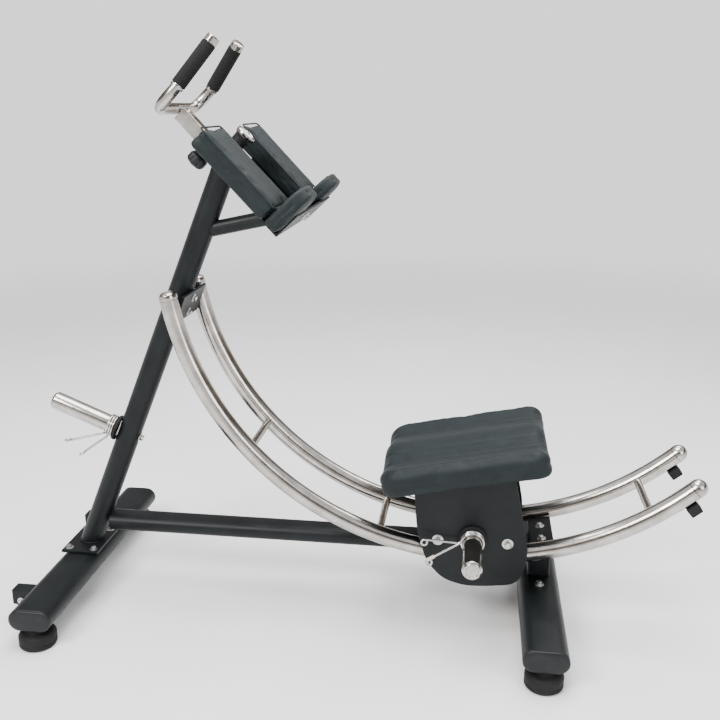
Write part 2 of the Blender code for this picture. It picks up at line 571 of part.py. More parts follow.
# ---------------------------------------------------------------- arm rest
def make_arm_rest():
    half_sleeve = SLEEVE_SIZE / 2
    middle = (SLEEVE_FRONT + SLEEVE_REAR) / 2
    length = SLEEVE_REAR - SLEEVE_FRONT
    sleeve = place("armrest_sleeve", box((length, SLEEVE_SIZE, SLEEVE_SIZE), arm_point(middle, -SLEEVE_DEPTH),
                                         along=ARM_DOWN, up=ARM_UP, bevel=0.003), BLACK_PAINT)
    hollow = SLEEVE_SIZE - 2 * SLEEVE_WALL
    modify(sleeve, "DIFFERENCE", box((length + 0.02, hollow, hollow), arm_point(middle, -SLEEVE_DEPTH),
                                     along=ARM_DOWN, up=ARM_UP))
    modify(sleeve, "DIFFERENCE", rod(SCREW_RADIUS + STUB_CLEARANCE, arm_point(KNOB_POSITION, -SLEEVE_DEPTH),
                                     arm_point(KNOB_POSITION, -SLEEVE_DEPTH - half_sleeve - 0.01), sides=16))
    plate_front = COUNTER_POSITION + COUNTER_DIAMETER / 2 + 0.010
    stop_rear = ARM_PAD_LENGTH + 2 * GAP + ELBOW_STOP_THICKNESS
    plate_top = -ARM_PAD_THICKNESS - GAP
    plate_bottom = plate_top - ARM_PLATE_THICKNESS
    flange_inner = stop_rear + GAP
    flange_outer = flange_inner + ARM_PLATE_THICKNESS
    outline = [(plate_front, plate_bottom), (flange_outer, plate_bottom), (flange_outer, ARM_FLANGE_TOP),
               (flange_inner, ARM_FLANGE_TOP), (flange_inner, plate_top), (plate_front, plate_top)]
    bm = bmesh.new()
    rings = [[bm.verts.new(arm_point(down, up, side * ARM_PLATE_WIDTH / 2)) for down, up in outline]
             for side in (-1, 1)]
    for ring in rings:
        bm.faces.new(ring)
    for index in range(len(outline)):
        after = (index + 1) % len(outline)
        bm.faces.new((rings[0][index], rings[0][after], rings[1][after], rings[1][index]))
    place("armrest_plate", bm, BLACK_PAINT)
    pad_width = ARM_PAD_OUTER - ARM_PAD_INNER
    for side_name, side in SIDES.items():
        across = side * (ARM_PAD_OUTER + ARM_PAD_INNER) / 2
        place(f"arm_pad_{side_name}", box((ARM_PAD_LENGTH, pad_width, ARM_PAD_THICKNESS),
                                          arm_point(ARM_PAD_LENGTH / 2, -ARM_PAD_THICKNESS / 2, across),
                                          along=ARM_DOWN, up=ARM_UP, bevel=0.008), VINYL)
        stop_height = ELBOW_STOP_RISE + ARM_PAD_THICKNESS
        place(f"elbow_stop_{side_name}", box((ELBOW_STOP_THICKNESS, pad_width, stop_height),
                                             arm_point(stop_rear - ELBOW_STOP_THICKNESS / 2,
                                                       ELBOW_STOP_RISE - stop_height / 2, across),
                                             along=ARM_DOWN, up=ARM_UP, bevel=0.012, segments=3), VINYL)
    counter_base = arm_point(COUNTER_POSITION, -SLEEVE_DEPTH + half_sleeve + GAP)
    counter_height = SLEEVE_DEPTH - half_sleeve - GAP + COUNTER_RISE
    radius = COUNTER_DIAMETER / 2
    profile = [(0, 0), (0, radius - 0.006), (counter_height - 0.012, radius - 0.004), (counter_height - 0.010, radius),
               (counter_height - 0.002, radius), (counter_height, radius - 0.002), (counter_height, 0)]
    place("rep_counter", turned(profile, counter_base, ARM_UP), PLASTIC)
    brace_direction = Vector((math.cos(math.radians(BRACE_RISE)), 0, math.sin(math.radians(BRACE_RISE))))
    brace_anchor = post_point((BRACE_HEIGHT - POST_ORIGIN.z) / POST_DIRECTION.z) + Vector((BRACE_OFFSET, 0, 0))
    brace = place("armrest_brace", rod(BRACE_DIAMETER / 2, brace_anchor - brace_direction * 0.02,
                                       brace_anchor + brace_direction * BRACE_REACH), BLACK_PAINT)
    block = 0.5
    below_sleeve = -SLEEVE_DEPTH - half_sleeve - GAP
    modify(brace, "DIFFERENCE", box((1.2, block, block), arm_point(0, below_sleeve + block / 2),
                                    along=ARM_DOWN, up=ARM_UP))
    post_hull = rod(POST_DIAMETER / 2 + GAP, post_point(0), post_point(POST_REACH + 0.05), sides=20)
    modify(brace, "DIFFERENCE", post_hull)


def make_knob():
    """A clamping knob whose screw passes through the sleeve's lower wall."""
    screw_tip = arm_point(KNOB_POSITION, -SLEEVE_DEPTH - SLEEVE_SIZE / 2 + SLEEVE_WALL - GAP)
    profile = [(0, 0), (0, SCREW_RADIUS), (0.011, SCREW_RADIUS), (0.011, 0.010), (0.018, 0.011), (0.020, 0.022), (0.024, 0.025),
               (0.040, 0.025), (0.045, 0.021), (0.046, 0)]
    place("clamp_knob", turned(profile, screw_tip, -ARM_UP), PLASTIC, origin=screw_tip)


def make_handle():
    stem_size = SLEEVE_SIZE - 2 * SLEEVE_WALL - 2 * STEM_CLEARANCE
    bar_radius = HANDLE_TUBE / 2
    crossbar = arm_point(-HANDLE_REACH, -SLEEVE_DEPTH)
    stem_top = -HANDLE_REACH + bar_radius + GAP
    stem_length = STEM_INSERTION - stem_top
    place("handle_stem", box((stem_length, stem_size, stem_size),
                             arm_point((stem_top + STEM_INSERTION) / 2, -SLEEVE_DEPTH),
                             along=ARM_DOWN, up=ARM_UP, bevel=0.002), CHROME, origin=crossbar)
    half = [crossbar]
    low, high = [arm_point(down - HANDLE_REACH, up - SLEEVE_DEPTH, across)
                 for down, across, up in (GRIP_LOW, GRIP_HIGH)]
    grip_direction = (high - low).normalized()
    corner = Vector((crossbar.x, HANDLE_HALF_WIDTH, crossbar.z))
    inner = corner - Vector((0, HANDLE_BEND, 0))
    half.append(crossbar.lerp(inner, 0.5))
    bend_steps = 8
    for index in range(bend_steps + 1):
        share = index / bend_steps
        half.append(inner.lerp(corner, share).lerp(corner.lerp(low, share), share))
    half.append(low.lerp(high, 0.5))
    half.append(high)
    mirrored = [Vector((point.x, -point.y, point.z)) for point in reversed(half[1:])]
    place("handle_bar", swept(mirrored + half, bar_radius, 16), CHROME, origin=crossbar)
    for side_name, side in SIDES.items():
        start = low + grip_direction * 0.004
        end = high - grip_direction * 0.003
        start, end = [Vector((point.x, side * point.y, point.z)) for point in (start, end)]
        grip = place(f"grip_{side_name}", rod(bar_radius + GRIP_THICKNESS, start, end, chamfer=0.0015), RUBBER)
        modify(grip, "DIFFERENCE", rod(bar_radius + GAP, start - (end - start), end + (end - start), sides=20))


make_arm_rest()
make_knob()
make_handle()


# ---------------------------------------------------------------- carriage
pivot = bpy.data.objects.new("carriage_pivot", None)
pivot.location = RAIL_CENTRE
bpy.context.collection.objects.link(pivot)

UPPER_ROLLER_REACH = RAIL_DIAMETER / 2 + ROLLER_RAIL_CLEARANCE + UPPER_ROLLER_WAIST
LOWER_ROLLER_REACH = RAIL_DIAMETER / 2 + ROLLER_RAIL_CLEARANCE + LOWER_ROLLER_WAIST
UPPER_ROLLER_ANGLE = math.degrees(math.asin(ROLLER_SPREAD / (RAIL_RADIUS - UPPER_ROLLER_REACH)))
ROLLERS = {
    "upper_roller_front": (-UPPER_ROLLER_ANGLE, RAIL_RADIUS - UPPER_ROLLER_REACH, UPPER_ROLLER_REACH),
    "upper_roller_rear": (UPPER_ROLLER_ANGLE, RAIL_RADIUS - UPPER_ROLLER_REACH, UPPER_ROLLER_REACH),
    "lower_roller": (0.0, RAIL_RADIUS + LOWER_ROLLER_REACH, LOWER_ROLLER_REACH),
}


def make_roller(name, centre, reach):
    """A waisted roller that runs on a round rail at a given distance from the rail's centreline."""
    half = ROLLER_WIDTH / 2
    groove = RAIL_DIAMETER / 2 + ROLLER_RAIL_CLEARANCE
    bore = STUB_DIAMETER / 2 + STUB_CLEARANCE
    profile = [(-half, bore)]
    steps = 6
    for index in range(steps + 1):
        station = -half + 2 * half * index / steps
        profile.append((station, reach - math.sqrt(groove * groove - station * station)))
    profile.append((half, bore))
    place(name, turned(profile, centre, (0, 1, 0), sides=16), PLASTIC, origin=centre, parent=pivot)


def make_side_plate(side_name, side):
    """A side plate with its stub axles; the outline is drawn along and up the tilted pad."""
    bm = bmesh.new()
    rings = []
    for distance in (PLATE_INNER, PLATE_OUTER):
        rings.append([bm.verts.new(tilted_point(along, up, side * distance)) for along, up in SIDE_PLATE_OUTLINE])
    bm.faces.new(rings[0])
    bm.faces.new(rings[1])
    count = len(SIDE_PLATE_OUTLINE)
    for index in range(count):
        after = (index + 1) % count
        bm.faces.new((rings[0][index], rings[0][after], rings[1][after], rings[1][index]))
    plate = place(f"carriage_plate_{side_name}", bm, BLACK_PAINT, parent=pivot)
    tip = RAIL_Y - ROLLER_WIDTH / 2 - 0.001
    for angle, radius, reach in ROLLERS.values():
        centre = rail_point(angle, 0, radius)
        stub = rod(STUB_DIAMETER / 2, centre + Vector((0, side * tip, 0)),
                   centre + Vector((0, side * (PLATE_INNER + 0.002), 0)), sides=16, chamfer=0.0008)
        modify(plate, "UNION", stub)
    for name, (angle, radius, reach) in ROLLERS.items():
        make_roller(f"{name}_{side_name}", rail_point(angle, side, radius), reach)
    horn_base = Vector((RAIL_X, side * (PLATE_OUTER + GAP), RAIL_LOW_HEIGHT + CARRIAGE_HORN_RISE))
    weight_horn(f"carriage_horn_{side_name}", horn_base, (0, side, 0), CARRIAGE_HORN_LENGTH, pivot)


def make_carriage_deck():
    width = 2 * (PLATE_INNER - GAP)
    centre = tilted_point(-DECK_FORWARD, -DECK_THICKNESS / 2 - GAP)
    place("carriage_cross_plate", box((DECK_LENGTH, width, DECK_THICKNESS), centre, along=TILTED_ALONG, up=TILTED_UP,
                                      bevel=0.0015), BLACK_PAINT, parent=pivot)


def make_knee_pad():
    """A cushion whose top has two shallow knee channels running along it."""
    half = KNEE_PAD_WIDTH / 2
    steps = 24
    round_edge = 0.012
    outline = [(-half + round_edge, 0), (half - round_edge, 0), (half, round_edge)]
    for index in range(steps + 1):
        share = 1 - 2 * index / steps
        crest = (0.5 + 0.5 * math.cos(share * math.tau)) * KNEE_PAD_CROWN
        fall = (KNEE_PAD_EDGE * 0.35) * abs(share) ** 8
        outline.append((share * half, KNEE_PAD_EDGE + crest - fall))
    outline.append((-half, round_edge))
    length = KNEE_PAD_LENGTH
    centre = tilted_point(-KNEE_PAD_FORWARD, GAP)
    stations = [(-length / 2, 0.90), (-length / 2 + 0.010, 0.975), (-length / 2 + 0.028, 1.0),
                (length / 2 - 0.028, 1.0), (length / 2 - 0.010, 0.975), (length / 2, 0.90)]
    bm = bmesh.new()
    rings = []
    for station, share in stations:
        ring = []
        for across, up in outline:
            ring.append(bm.verts.new((station, across * (0.5 + 0.5 * share),
                                      KNEE_PAD_EDGE / 2 + (up - KNEE_PAD_EDGE / 2) * share)))
        rings.append(ring)
    for ring in (rings[0], rings[-1]):
        bm.faces.new(ring)
    for first, second in zip(rings, rings[1:]):
        for index in range(len(outline)):
            after = (index + 1) % len(outline)
            bm.faces.new((first[index], first[after], second[after], second[index]))
    turn(bm, TILTED_ALONG, TILTED_UP, centre)
    place("knee_pad", bm, VINYL, parent=pivot)


for plate_side_name, plate_side in SIDES.items():
    make_side_plate(plate_side_name, plate_side)
make_carriage_deck()
make_knee_pad()
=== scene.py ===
"""Looks of the ab crunch machine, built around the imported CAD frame."""
import json
import math

import bmesh
import bpy
from mathutils import Matrix, Vector, noise


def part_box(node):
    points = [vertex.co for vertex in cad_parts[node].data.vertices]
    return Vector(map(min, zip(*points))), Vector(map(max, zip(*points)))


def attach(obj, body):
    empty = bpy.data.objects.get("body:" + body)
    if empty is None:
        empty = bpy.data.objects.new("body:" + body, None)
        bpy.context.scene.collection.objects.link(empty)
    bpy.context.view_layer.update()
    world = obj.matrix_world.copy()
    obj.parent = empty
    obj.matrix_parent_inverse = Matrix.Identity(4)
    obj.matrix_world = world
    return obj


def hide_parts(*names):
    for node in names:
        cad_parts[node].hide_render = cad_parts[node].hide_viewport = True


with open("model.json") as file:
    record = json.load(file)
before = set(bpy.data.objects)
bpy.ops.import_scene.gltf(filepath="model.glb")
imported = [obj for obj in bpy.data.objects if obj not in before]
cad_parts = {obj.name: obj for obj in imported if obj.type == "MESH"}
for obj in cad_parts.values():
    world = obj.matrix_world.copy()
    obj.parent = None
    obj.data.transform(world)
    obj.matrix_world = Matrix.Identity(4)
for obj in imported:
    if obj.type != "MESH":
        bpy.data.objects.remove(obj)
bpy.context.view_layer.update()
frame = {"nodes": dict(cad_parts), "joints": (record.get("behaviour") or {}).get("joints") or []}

JOINTS = {joint["name"]: joint for joint in frame["joints"]}
RAIL_CENTRE = Vector(JOINTS["carriage_roll"]["pos_m"])
SIDES = {"near": -1, "far": 1}


# ---------------- materials
def new_material(name):
    """A material with nodes, its tree and its shader."""
    material = bpy.data.materials.new(name)
    material.use_nodes = True
    tree = material.node_tree
    shader = tree.nodes["Principled BSDF"]
    return material, tree, shader


def add_node(tree, kind, **inputs):
    """A node of a kind, with its inputs set by name."""
    node = tree.nodes.new(kind)
    for name, value in inputs.items():
        node.inputs[name.replace("_", " ")].default_value = value
    return node


def object_coordinates(tree, scale=(1, 1, 1)):
    """The piece's own coordinates, stretched by a mapping."""
    source = tree.nodes.new("ShaderNodeTexCoord")
    mapping = tree.nodes.new("ShaderNodeMapping")
    mapping.inputs["Scale"].default_value = scale
    tree.links.new(source.outputs["Object"], mapping.inputs["Vector"])
    return mapping.outputs["Vector"]


def colour_mix(tree, shader, factor, dark, light, low=0.35, high=0.65):
    """Drive the base colour from a texture, between two colours."""
    ramp = tree.nodes.new("ShaderNodeValToRGB")
    ramp.color_ramp.elements[0].position = low
    ramp.color_ramp.elements[0].color = (*dark, 1)
    ramp.color_ramp.elements[1].position = high
    ramp.color_ramp.elements[1].color = (*light, 1)
    tree.links.new(factor, ramp.inputs["Fac"])
    tree.links.new(ramp.outputs["Color"], shader.inputs["Base Color"])


def roughness_range(tree, shader, factor, smooth, rough):
    """Drive the roughness from a texture, between two values."""
    spread = tree.nodes.new("ShaderNodeMapRange")
    spread.inputs["To Min"].default_value = smooth
    spread.inputs["To Max"].default_value = rough
    tree.links.new(factor, spread.inputs["Value"])
    tree.links.new(spread.outputs["Result"], shader.inputs["Roughness"])


def bump(tree, height, strength, distance, after=None):
    """Turn a texture into relief, on top of an earlier relief where one is given."""
    node = tree.nodes.new("ShaderNodeBump")
    node.inputs["Strength"].default_value = strength
    node.inputs["Distance"].default_value = distance
    tree.links.new(height, node.inputs["Height"])
    if after is not None:
        tree.links.new(after, node.inputs["Normal"])
    return node.outputs["Normal"]


def powder_coat():
    """Satin black powder coat: fine orange peel, a little dust and slight cloudiness."""
    material, tree, shader = new_material("powder_coat")
    space = object_coordinates(tree)
    peel = add_node(tree, "ShaderNodeTexNoise", Scale=420.0, Detail=3.0, Roughness=0.55)
    cloud = add_node(tree, "ShaderNodeTexNoise", Scale=14.0, Detail=4.0, Roughness=0.6)
    for node in (peel, cloud):
        tree.links.new(space, node.inputs["Vector"])
    colour_mix(tree, shader, cloud.outputs["Fac"], (0.0032, 0.0044, 0.0050), (0.0070, 0.0090, 0.0102))
    roughness_range(tree, shader, cloud.outputs["Fac"], 0.36, 0.52)
    tree.links.new(bump(tree, peel.outputs["Fac"], 0.22, 0.0004), shader.inputs["Normal"])
    shader.inputs["Specular IOR Level"].default_value = 0.20
    return material


def plated_steel(name, dark, light, smooth, rough, streaks):
    """Bright plated tube: faint drawing streaks, haze and tiny pits."""
    material, tree, shader = new_material(name)
    space = object_coordinates(tree)
    stretched = object_coordinates(tree, streaks)
    haze = add_node(tree, "ShaderNodeTexNoise", Scale=22.0, Detail=5.0, Roughness=0.6)
    streak = add_node(tree, "ShaderNodeTexNoise", Scale=60.0, Detail=3.0, Roughness=0.7)
    pits = add_node(tree, "ShaderNodeTexVoronoi", Scale=700.0)
    tree.links.new(space, haze.inputs["Vector"])
    tree.links.new(stretched, streak.inputs["Vector"])
    tree.links.new(space, pits.inputs["Vector"])
    colour_mix(tree, shader, haze.outputs["Fac"], dark, light)
    roughness_range(tree, shader, streak.outputs["Fac"], smooth, rough)
    first = bump(tree, streak.outputs["Fac"], 0.02, 0.0003)
    tree.links.new(bump(tree, pits.outputs["Distance"], 0.012, 0.0001, first), shader.inputs["Normal"])
    shader.inputs["Metallic"].default_value = 1.0
    return material


def synthetic_leather():
    """Black upholstery vinyl: pebble grain, soft creases and worn, glossier high spots."""
    material, tree, shader = new_material("synthetic_leather")
    space = object_coordinates(tree)
    grain = add_node(tree, "ShaderNodeTexVoronoi", Scale=520.0, Randomness=0.9)
    fine = add_node(tree, "ShaderNodeTexNoise", Scale=900.0, Detail=2.0)
    crease = add_node(tree, "ShaderNodeTexNoise", Scale=26.0, Detail=6.0, Roughness=0.62, Distortion=0.6)
    for node in (grain, fine, crease):
        tree.links.new(space, node.inputs["Vector"])
    dark, light = (0.0022, 0.0052, 0.0062), (0.0062, 0.0122, 0.0140)
    colour_mix(tree, shader, crease.outputs["Fac"], dark, light, 0.3, 0.7)
    roughness_range(tree, shader, crease.outputs["Fac"], 0.52, 0.70)
    first = bump(tree, crease.outputs["Fac"], 0.25, 0.0016)
    second = bump(tree, grain.outputs["Distance"], 0.35, 0.0006, first)
    tree.links.new(bump(tree, fine.outputs["Fac"], 0.15, 0.0003, second), shader.inputs["Normal"])
    shader.inputs["Specular IOR Level"].default_value = 0.26
    shader.inputs["Sheen Weight"].default_value = 0.03
    shader.inputs["Sheen Roughness"].default_value = 0.4
    return material


def moulded(name, dark, light, smooth, rough, scale, depth):
    """Moulded rubber or plastic with a spark-eroded texture and a little chalking."""
    material, tree, shader = new_material(name)
    space = object_coordinates(tree)
    fine = add_node(tree, "ShaderNodeTexNoise", Scale=scale, Detail=3.0)
    chalk = add_node(tree, "ShaderNodeTexNoise", Scale=18.0, Detail=5.0, Roughness=0.65)
    for node in (fine, chalk):
        tree.links.new(space, node.inputs["Vector"])
    colour_mix(tree, shader, chalk.outputs["Fac"], dark, light)
    roughness_range(tree, shader, chalk.outputs["Fac"], smooth, rough)
    tree.links.new(bump(tree, fine.outputs["Fac"], 0.3, depth), shader.inputs["Normal"])
    shader.inputs["Specular IOR Level"].default_value = 0.25
    return material


POWDER = powder_coat()
CHROME = plated_steel("polished_tube", (0.36, 0.335, 0.31), (0.52, 0.49, 0.46), 0.13, 0.26, (1, 9, 1))
WIRE = plated_steel("spring_wire", (0.46, 0.45, 0.44), (0.64, 0.63, 0.62), 0.14, 0.30, (6, 6, 6))
ZINC = plated_steel("zinc_fastener", (0.44, 0.44, 0.43), (0.62, 0.61, 0.59), 0.22, 0.42, (3, 3, 3))
LEATHER = synthetic_leather()
RUBBER = moulded("moulded_rubber", (0.004, 0.004, 0.004), (0.011, 0.011, 0.012), 0.62, 0.85, 650.0, 0.0005)
FOAM = moulded("grip_foam", (0.005, 0.005, 0.005), (0.010, 0.010, 0.011), 0.75, 0.92, 1100.0, 0.0009)
PLASTIC = moulded("moulded_plastic", (0.005, 0.006, 0.007), (0.012, 0.013, 0.015), 0.38, 0.55, 900.0, 0.0003)
PALE_PLASTIC = moulded("pale_plastic", (0.42, 0.38, 0.30), (0.58, 0.54, 0.45), 0.35, 0.5, 700.0, 0.0003)
FACE = moulded("counter_window", (0.62, 0.64, 0.64), (0.80, 0.82, 0.82), 0.06, 0.12, 300.0, 0.00002)


# ---------------- mesh helpers
def piece(name, bm, material, body, nodes=(), smooth_angle=40.0):
    """Turn a mesh into a piece that rides on a body and stands for CAD nodes."""
    bmesh.ops.recalc_face_normals(bm, faces=bm.faces)
    mesh = bpy.data.meshes.new(name)
    bm.to_mesh(mesh)
    bm.free()
    mesh.shade_smooth()
    mesh.set_sharp_from_angle(angle=math.radians(smooth_angle))
    mesh.materials.append(material)
    item = bpy.data.objects.new(name, mesh)
    bpy.context.collection.objects.link(item)
    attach(item, body)
    if nodes:
        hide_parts(*nodes)
    return item


def turn(bm, along, up, centre, verts=None):
    """Set points drawn along, across and up into their place."""
    along = Vector(along).normalized()
    across = Vector(up).cross(along).normalized()
    up = along.cross(across)
    basis = Matrix((along, across, up)).transposed().to_4x4()
    place = Matrix.Translation(Vector(centre)) @ basis
    bmesh.ops.transform(bm, matrix=place, verts=verts or bm.verts[:])


def join_rings(bm, rings, close_length=False):
    """Join rings of points by faces; a ring may be a single point."""
    pairs = list(zip(rings, rings[1:]))
    if close_length:
        pairs.append((rings[-1], rings[0]))
    for first, second in pairs:
        sides = max(len(first), len(second))
        for side in range(sides):
            after = (side + 1) % sides
            corners = [first[side % len(first)], first[after % len(first)],
                       second[after % len(second)], second[side % len(second)]]
            bm.faces.new(list(dict.fromkeys(corners)))


def skin(bm, rings):
    """Join rings of points and close both ends."""
    join_rings(bm, rings)
    bm.faces.new(rings[0])
    bm.faces.new(rings[-1])


def circle(radius, sides):
    """Points round a circle, or a single point when the radius is zero."""
    count = 1 if radius == 0 else sides
    angles = [math.tau * side / sides for side in range(count)]
    return [(radius * math.cos(angle), radius * math.sin(angle)) for angle in angles]


def helper_way(axis):
    """A direction that isn't along the axis."""
    return (0, 0, 1) if abs(Vector(axis).normalized().z) < 0.9 else (1, 0, 0)


def lathe(bm, profile, centre, axis, sides=48):
    """Turn (along, radius) points around an axis and add them to a mesh."""
    rings = []
    for station, radius in profile:
        rings.append([bm.verts.new((station, x, y)) for x, y in circle(radius, sides)])
    join_rings(bm, rings, close_length=profile[0][1] > 0)
    turn(bm, axis, helper_way(axis), centre, [vert for ring in rings for vert in ring])
    return bm


def turned(name, profile, centre, axis, sides, material, body, nodes=(), smooth_angle=40.0):
    """A piece made by turning a profile around an axis."""
    bm = lathe(bmesh.new(), profile, centre, axis, sides)
    return piece(name, bm, material, body, nodes, smooth_angle)


def bend(start, corner, end, share):
    """The point at a share of the way along the curve that eases a corner."""
    return start.lerp(corner, share).lerp(corner.lerp(end, share), share)


def rounded(profile, radius, steps=4):
    """Replace each inner corner of an open profile by a small arc."""
    result = [profile[0]]
    for before, corner, after in zip(profile, profile[1:], profile[2:]):
        before, corner, after = Vector(before), Vector(corner), Vector(after)
        reach = min(radius, 0.45 * (corner - before).length, 0.45 * (after - corner).length)
        start = corner + (before - corner).normalized() * reach
        end = corner + (after - corner).normalized() * reach
        for index in range(steps + 1):
            point = bend(start, corner, end, index / steps)
            result.append((point.x, point.y))
    result.append(profile[-1])
    return result


def tube(bm, points, radius, sides=32, dome=False, closed=False):
    """Sweep a circle along points, with flat, domed or joined ends."""
    points = [Vector(point) for point in points]
    count = len(points)
    tangents = []
    for index in range(count):
        before = points[(index - 1) % count] if closed else points[max(index - 1, 0)]
        after = points[(index + 1) % count] if closed else points[min(index + 1, count - 1)]
        tangents.append((after - before).normalized())
    stations = [(point, tangent, radius) for point, tangent in zip(points, tangents)]
    if dome:
        front, back = [], []
        for index in range(DOME_STEPS):
            angle = math.pi / 2 * index / DOME_STEPS
            reach = radius * math.cos(angle)
            size = radius * math.sin(angle)
            front.append((points[0] - tangents[0] * reach, tangents[0], size))
            back.append((points[-1] + tangents[-1] * reach, tangents[-1], size))
        stations = front + stations + back[::-1]
    normal = tangents[0].orthogonal().normalized()
    previous = tangents[0]
    rings = []
    for centre, tangent, size in stations:
        normal.rotate(previous.rotation_difference(tangent))
        previous = tangent
        side_way = tangent.cross(normal)
        outline = circle(size, sides)
        rings.append([bm.verts.new(centre + normal * x + side_way * y) for x, y in outline])
    join_rings(bm, rings, close_length=closed)
    if not dome and not closed:
        bm.faces.new(rings[0])
        bm.faces.new(rings[-1])
    return bm


def oval(width, height, steps=16):
    """A flat-sided oval with half-round ends."""
    radius = height / 2
    reach = width / 2 - radius
    points = []
    for index in range(steps + 1):
        angle = -math.pi / 2 + math.pi * index / steps
        points.append((reach + radius * math.cos(angle), radius * math.sin(angle)))
    return points + [(-x, -y) for x, y in points]


def rounded_rectangle(half_length, half_width, radii, steps):
    """Points round a rectangle, with the radii of its corners ahead and behind."""
    points = []
    for quarter in range(4):
        radius = radii[quarter in (1, 2)]
        x = (half_length - radius) * (1 if quarter in (0, 3) else -1)
        y = (half_width - radius) * (1 if quarter in (0, 1) else -1)
        for index in range(steps + 1):
            angle = math.pi / 2 * (quarter + index / steps)
            points.append((x + radius * math.cos(angle), y + radius * math.sin(angle)))
    return points


def loft(bm, outlines, along, up, centre):
    """Join outlines drawn across and up, given with their stations, and close both ends."""
    rings = [[bm.verts.new((station, x, y)) for x, y in outline] for station, outline in outlines]
    skin(bm, rings)
    turn(bm, along, up, centre, [vert for ring in rings for vert in ring])
    return bm


def middle(node):
    """The middle of a CAD node's box."""
    low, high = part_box(node)
    return (low + high) / 2


def size_of(node):
    """The three measures of a CAD node's box."""
    low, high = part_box(node)
    return high - low


def pivot_of(name):
    """The point of a joint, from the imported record."""
    return Vector(JOINTS[name]["pos_m"])


def rail_point(angle, side):
    """A point of a rail's middle line, its angle in degrees from straight down."""
    turn_angle = math.radians(angle)
    reach = Vector((math.sin(turn_angle), 0, -math.cos(turn_angle))) * RAIL_RADIUS
    return RAIL_CENTRE + reach + Vector((0, side * RAIL_Y, 0))


# ---------------- places and sizes
UP = (0, 0, 1)
RAIL_Y = abs(middle("rail_near").y)
RAIL_RADIUS = 0.768
RAIL_TUBE = 0.0225
RAIL_FRONT_ANGLE = 80.5
RAIL_REAR_ANGLE = 43.5
RAIL_CAP_SEAM = 0.7
POST_LEAN = math.radians(22.7)
POST_UP = Vector((math.sin(POST_LEAN), 0, math.cos(POST_LEAN)))
POST_REAR = Vector((POST_UP.z, 0, -POST_UP.x))
POST_FOOT = Vector((middle("front_foot").x + 0.001, 0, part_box("front_foot")[1].z))
ARM_SLOPE = math.radians(47.0)
ARM_DOWN = Vector((math.cos(ARM_SLOPE), 0, -math.sin(ARM_SLOPE)))
ARM_UP = Vector((-ARM_DOWN.z, 0, ARM_DOWN.x))
TILT = math.radians(11.5)
TILTED_ALONG = Vector((math.cos(TILT), 0, math.sin(TILT)))
TILTED_UP = Vector((-math.sin(TILT), 0, math.cos(TILT)))
ROLLERS = ("upper_roller_front", "upper_roller_rear", "lower_roller")
PLATE_TOP_CORNERS = 0.36
PLATE_THICKNESS = 0.006
HORN_RADIUS = 0.024
HORN_FLANGE_RADIUS = 0.035
HORN_FLANGE_THICKNESS = 0.010
WIRE_RADIUS = 0.0029
SPRING_TURNS = 3
SPRING_PITCH = 0.0062
SPRING_SPREAD = math.radians(64)
SPRING_ARM_STEPS = 5
SPRING_LOOP_RADIUS = 0.0075
HANDLE_RADIUS = 0.0135
DOME_STEPS = 7


# ---------------- feet and wheels
def dress_foot(name):
    """One floor tube with its two end caps and its two rubber feet."""
    centre = middle(name)
    size = size_of(name)
    half = size.y / 2
    lip = 0.0015
    whole = oval(size.x, size.z)
    eased = oval(size.x - 2 * lip, size.z - 2 * lip)
    bm = bmesh.new()
    shapes = [(-half, eased), (-half + lip, whole), (half - lip, whole), (half, eased)]
    loft(bm, shapes, (0, 1, 0), UP, centre)
    piece(f"{name}_tube", bm, POWDER, "frame", [name])
    for side_name, side in SIDES.items():
        cap = f"{name}_cap_{side_name}"
        low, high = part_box(f"{name}_cap_{side_name}")
        depth = max(abs(low.y), abs(high.y)) - half
        rim = [(0.0004, 0.0022), (0.0012, 0.0), (depth * 0.45, 0.0), (depth * 0.75, 0.0016),
               (depth * 0.93, 0.005), (depth, 0.010)]
        shapes = [(station, oval(size.x - 2 * inset, size.z - 2 * inset)) for station, inset in rim]
        bm = bmesh.new()
        loft(bm, shapes, (0, side, 0), UP, Vector((centre.x, side * half, centre.z)))
        piece(f"{name}_end_cap_{side_name}", bm, PLASTIC, "frame", [cap])
        dress_rubber_foot(f"rubber_{name}_{side_name}")


def dress_rubber_foot(node):
    """A turned rubber disc with a groove round it and a neck above it."""
    centre = middle(node)
    size = size_of(node)
    radius = size.x / 2
    neck = 0.026
    profile = [(0, 0), (0, radius - 0.004), (0.004, radius), (0.012, radius), (0.0135, radius - 0.0016),
               (0.015, radius), (0.030, radius), (0.037, radius - 0.005), (0.041, neck + 0.001),
               (size.z, neck), (size.z, 0)]
    ground = Vector((centre.x, centre.y, 0))
    turned(f"{node}_disc", rounded(profile, 0.003), ground, UP, 72, RUBBER, "frame", [node])


def dress_wheel(side_name, side):
    """A transport wheel with a raised tread and hub, and the two heads of its bolt."""
    node = f"transport_wheel_{side_name}"
    centre = middle(node)
    size = size_of(node)
    radius = size.x / 2
    half = size.y / 2
    bore = 0.0056
    hub = 0.012
    web = radius - 0.008
    profile = [(-half + 0.002, bore), (-half + 0.001, hub - 0.002), (-half + 0.004, hub),
               (-half + 0.004, web), (-half, web + 0.002), (-half + 0.003, radius)]
    profile += [(-station, reach) for station, reach in reversed(profile)]
    turned(f"{node}_tyre", rounded(profile, 0.0012, 2), centre, (0, 1, 0), 64, RUBBER,
           f"{node}_body", [node])
    low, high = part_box(f"wheel_bracket_{side_name}")
    for face, way in ((low.y, -1), (high.y, 1)):
        place = "outer" if way == side else "inner"
        seat = Vector((centre.x, face, centre.z))
        bolt(f"wheel_bolt_{side_name}_{place}", seat, (0, way, 0), 0.0055, "frame")


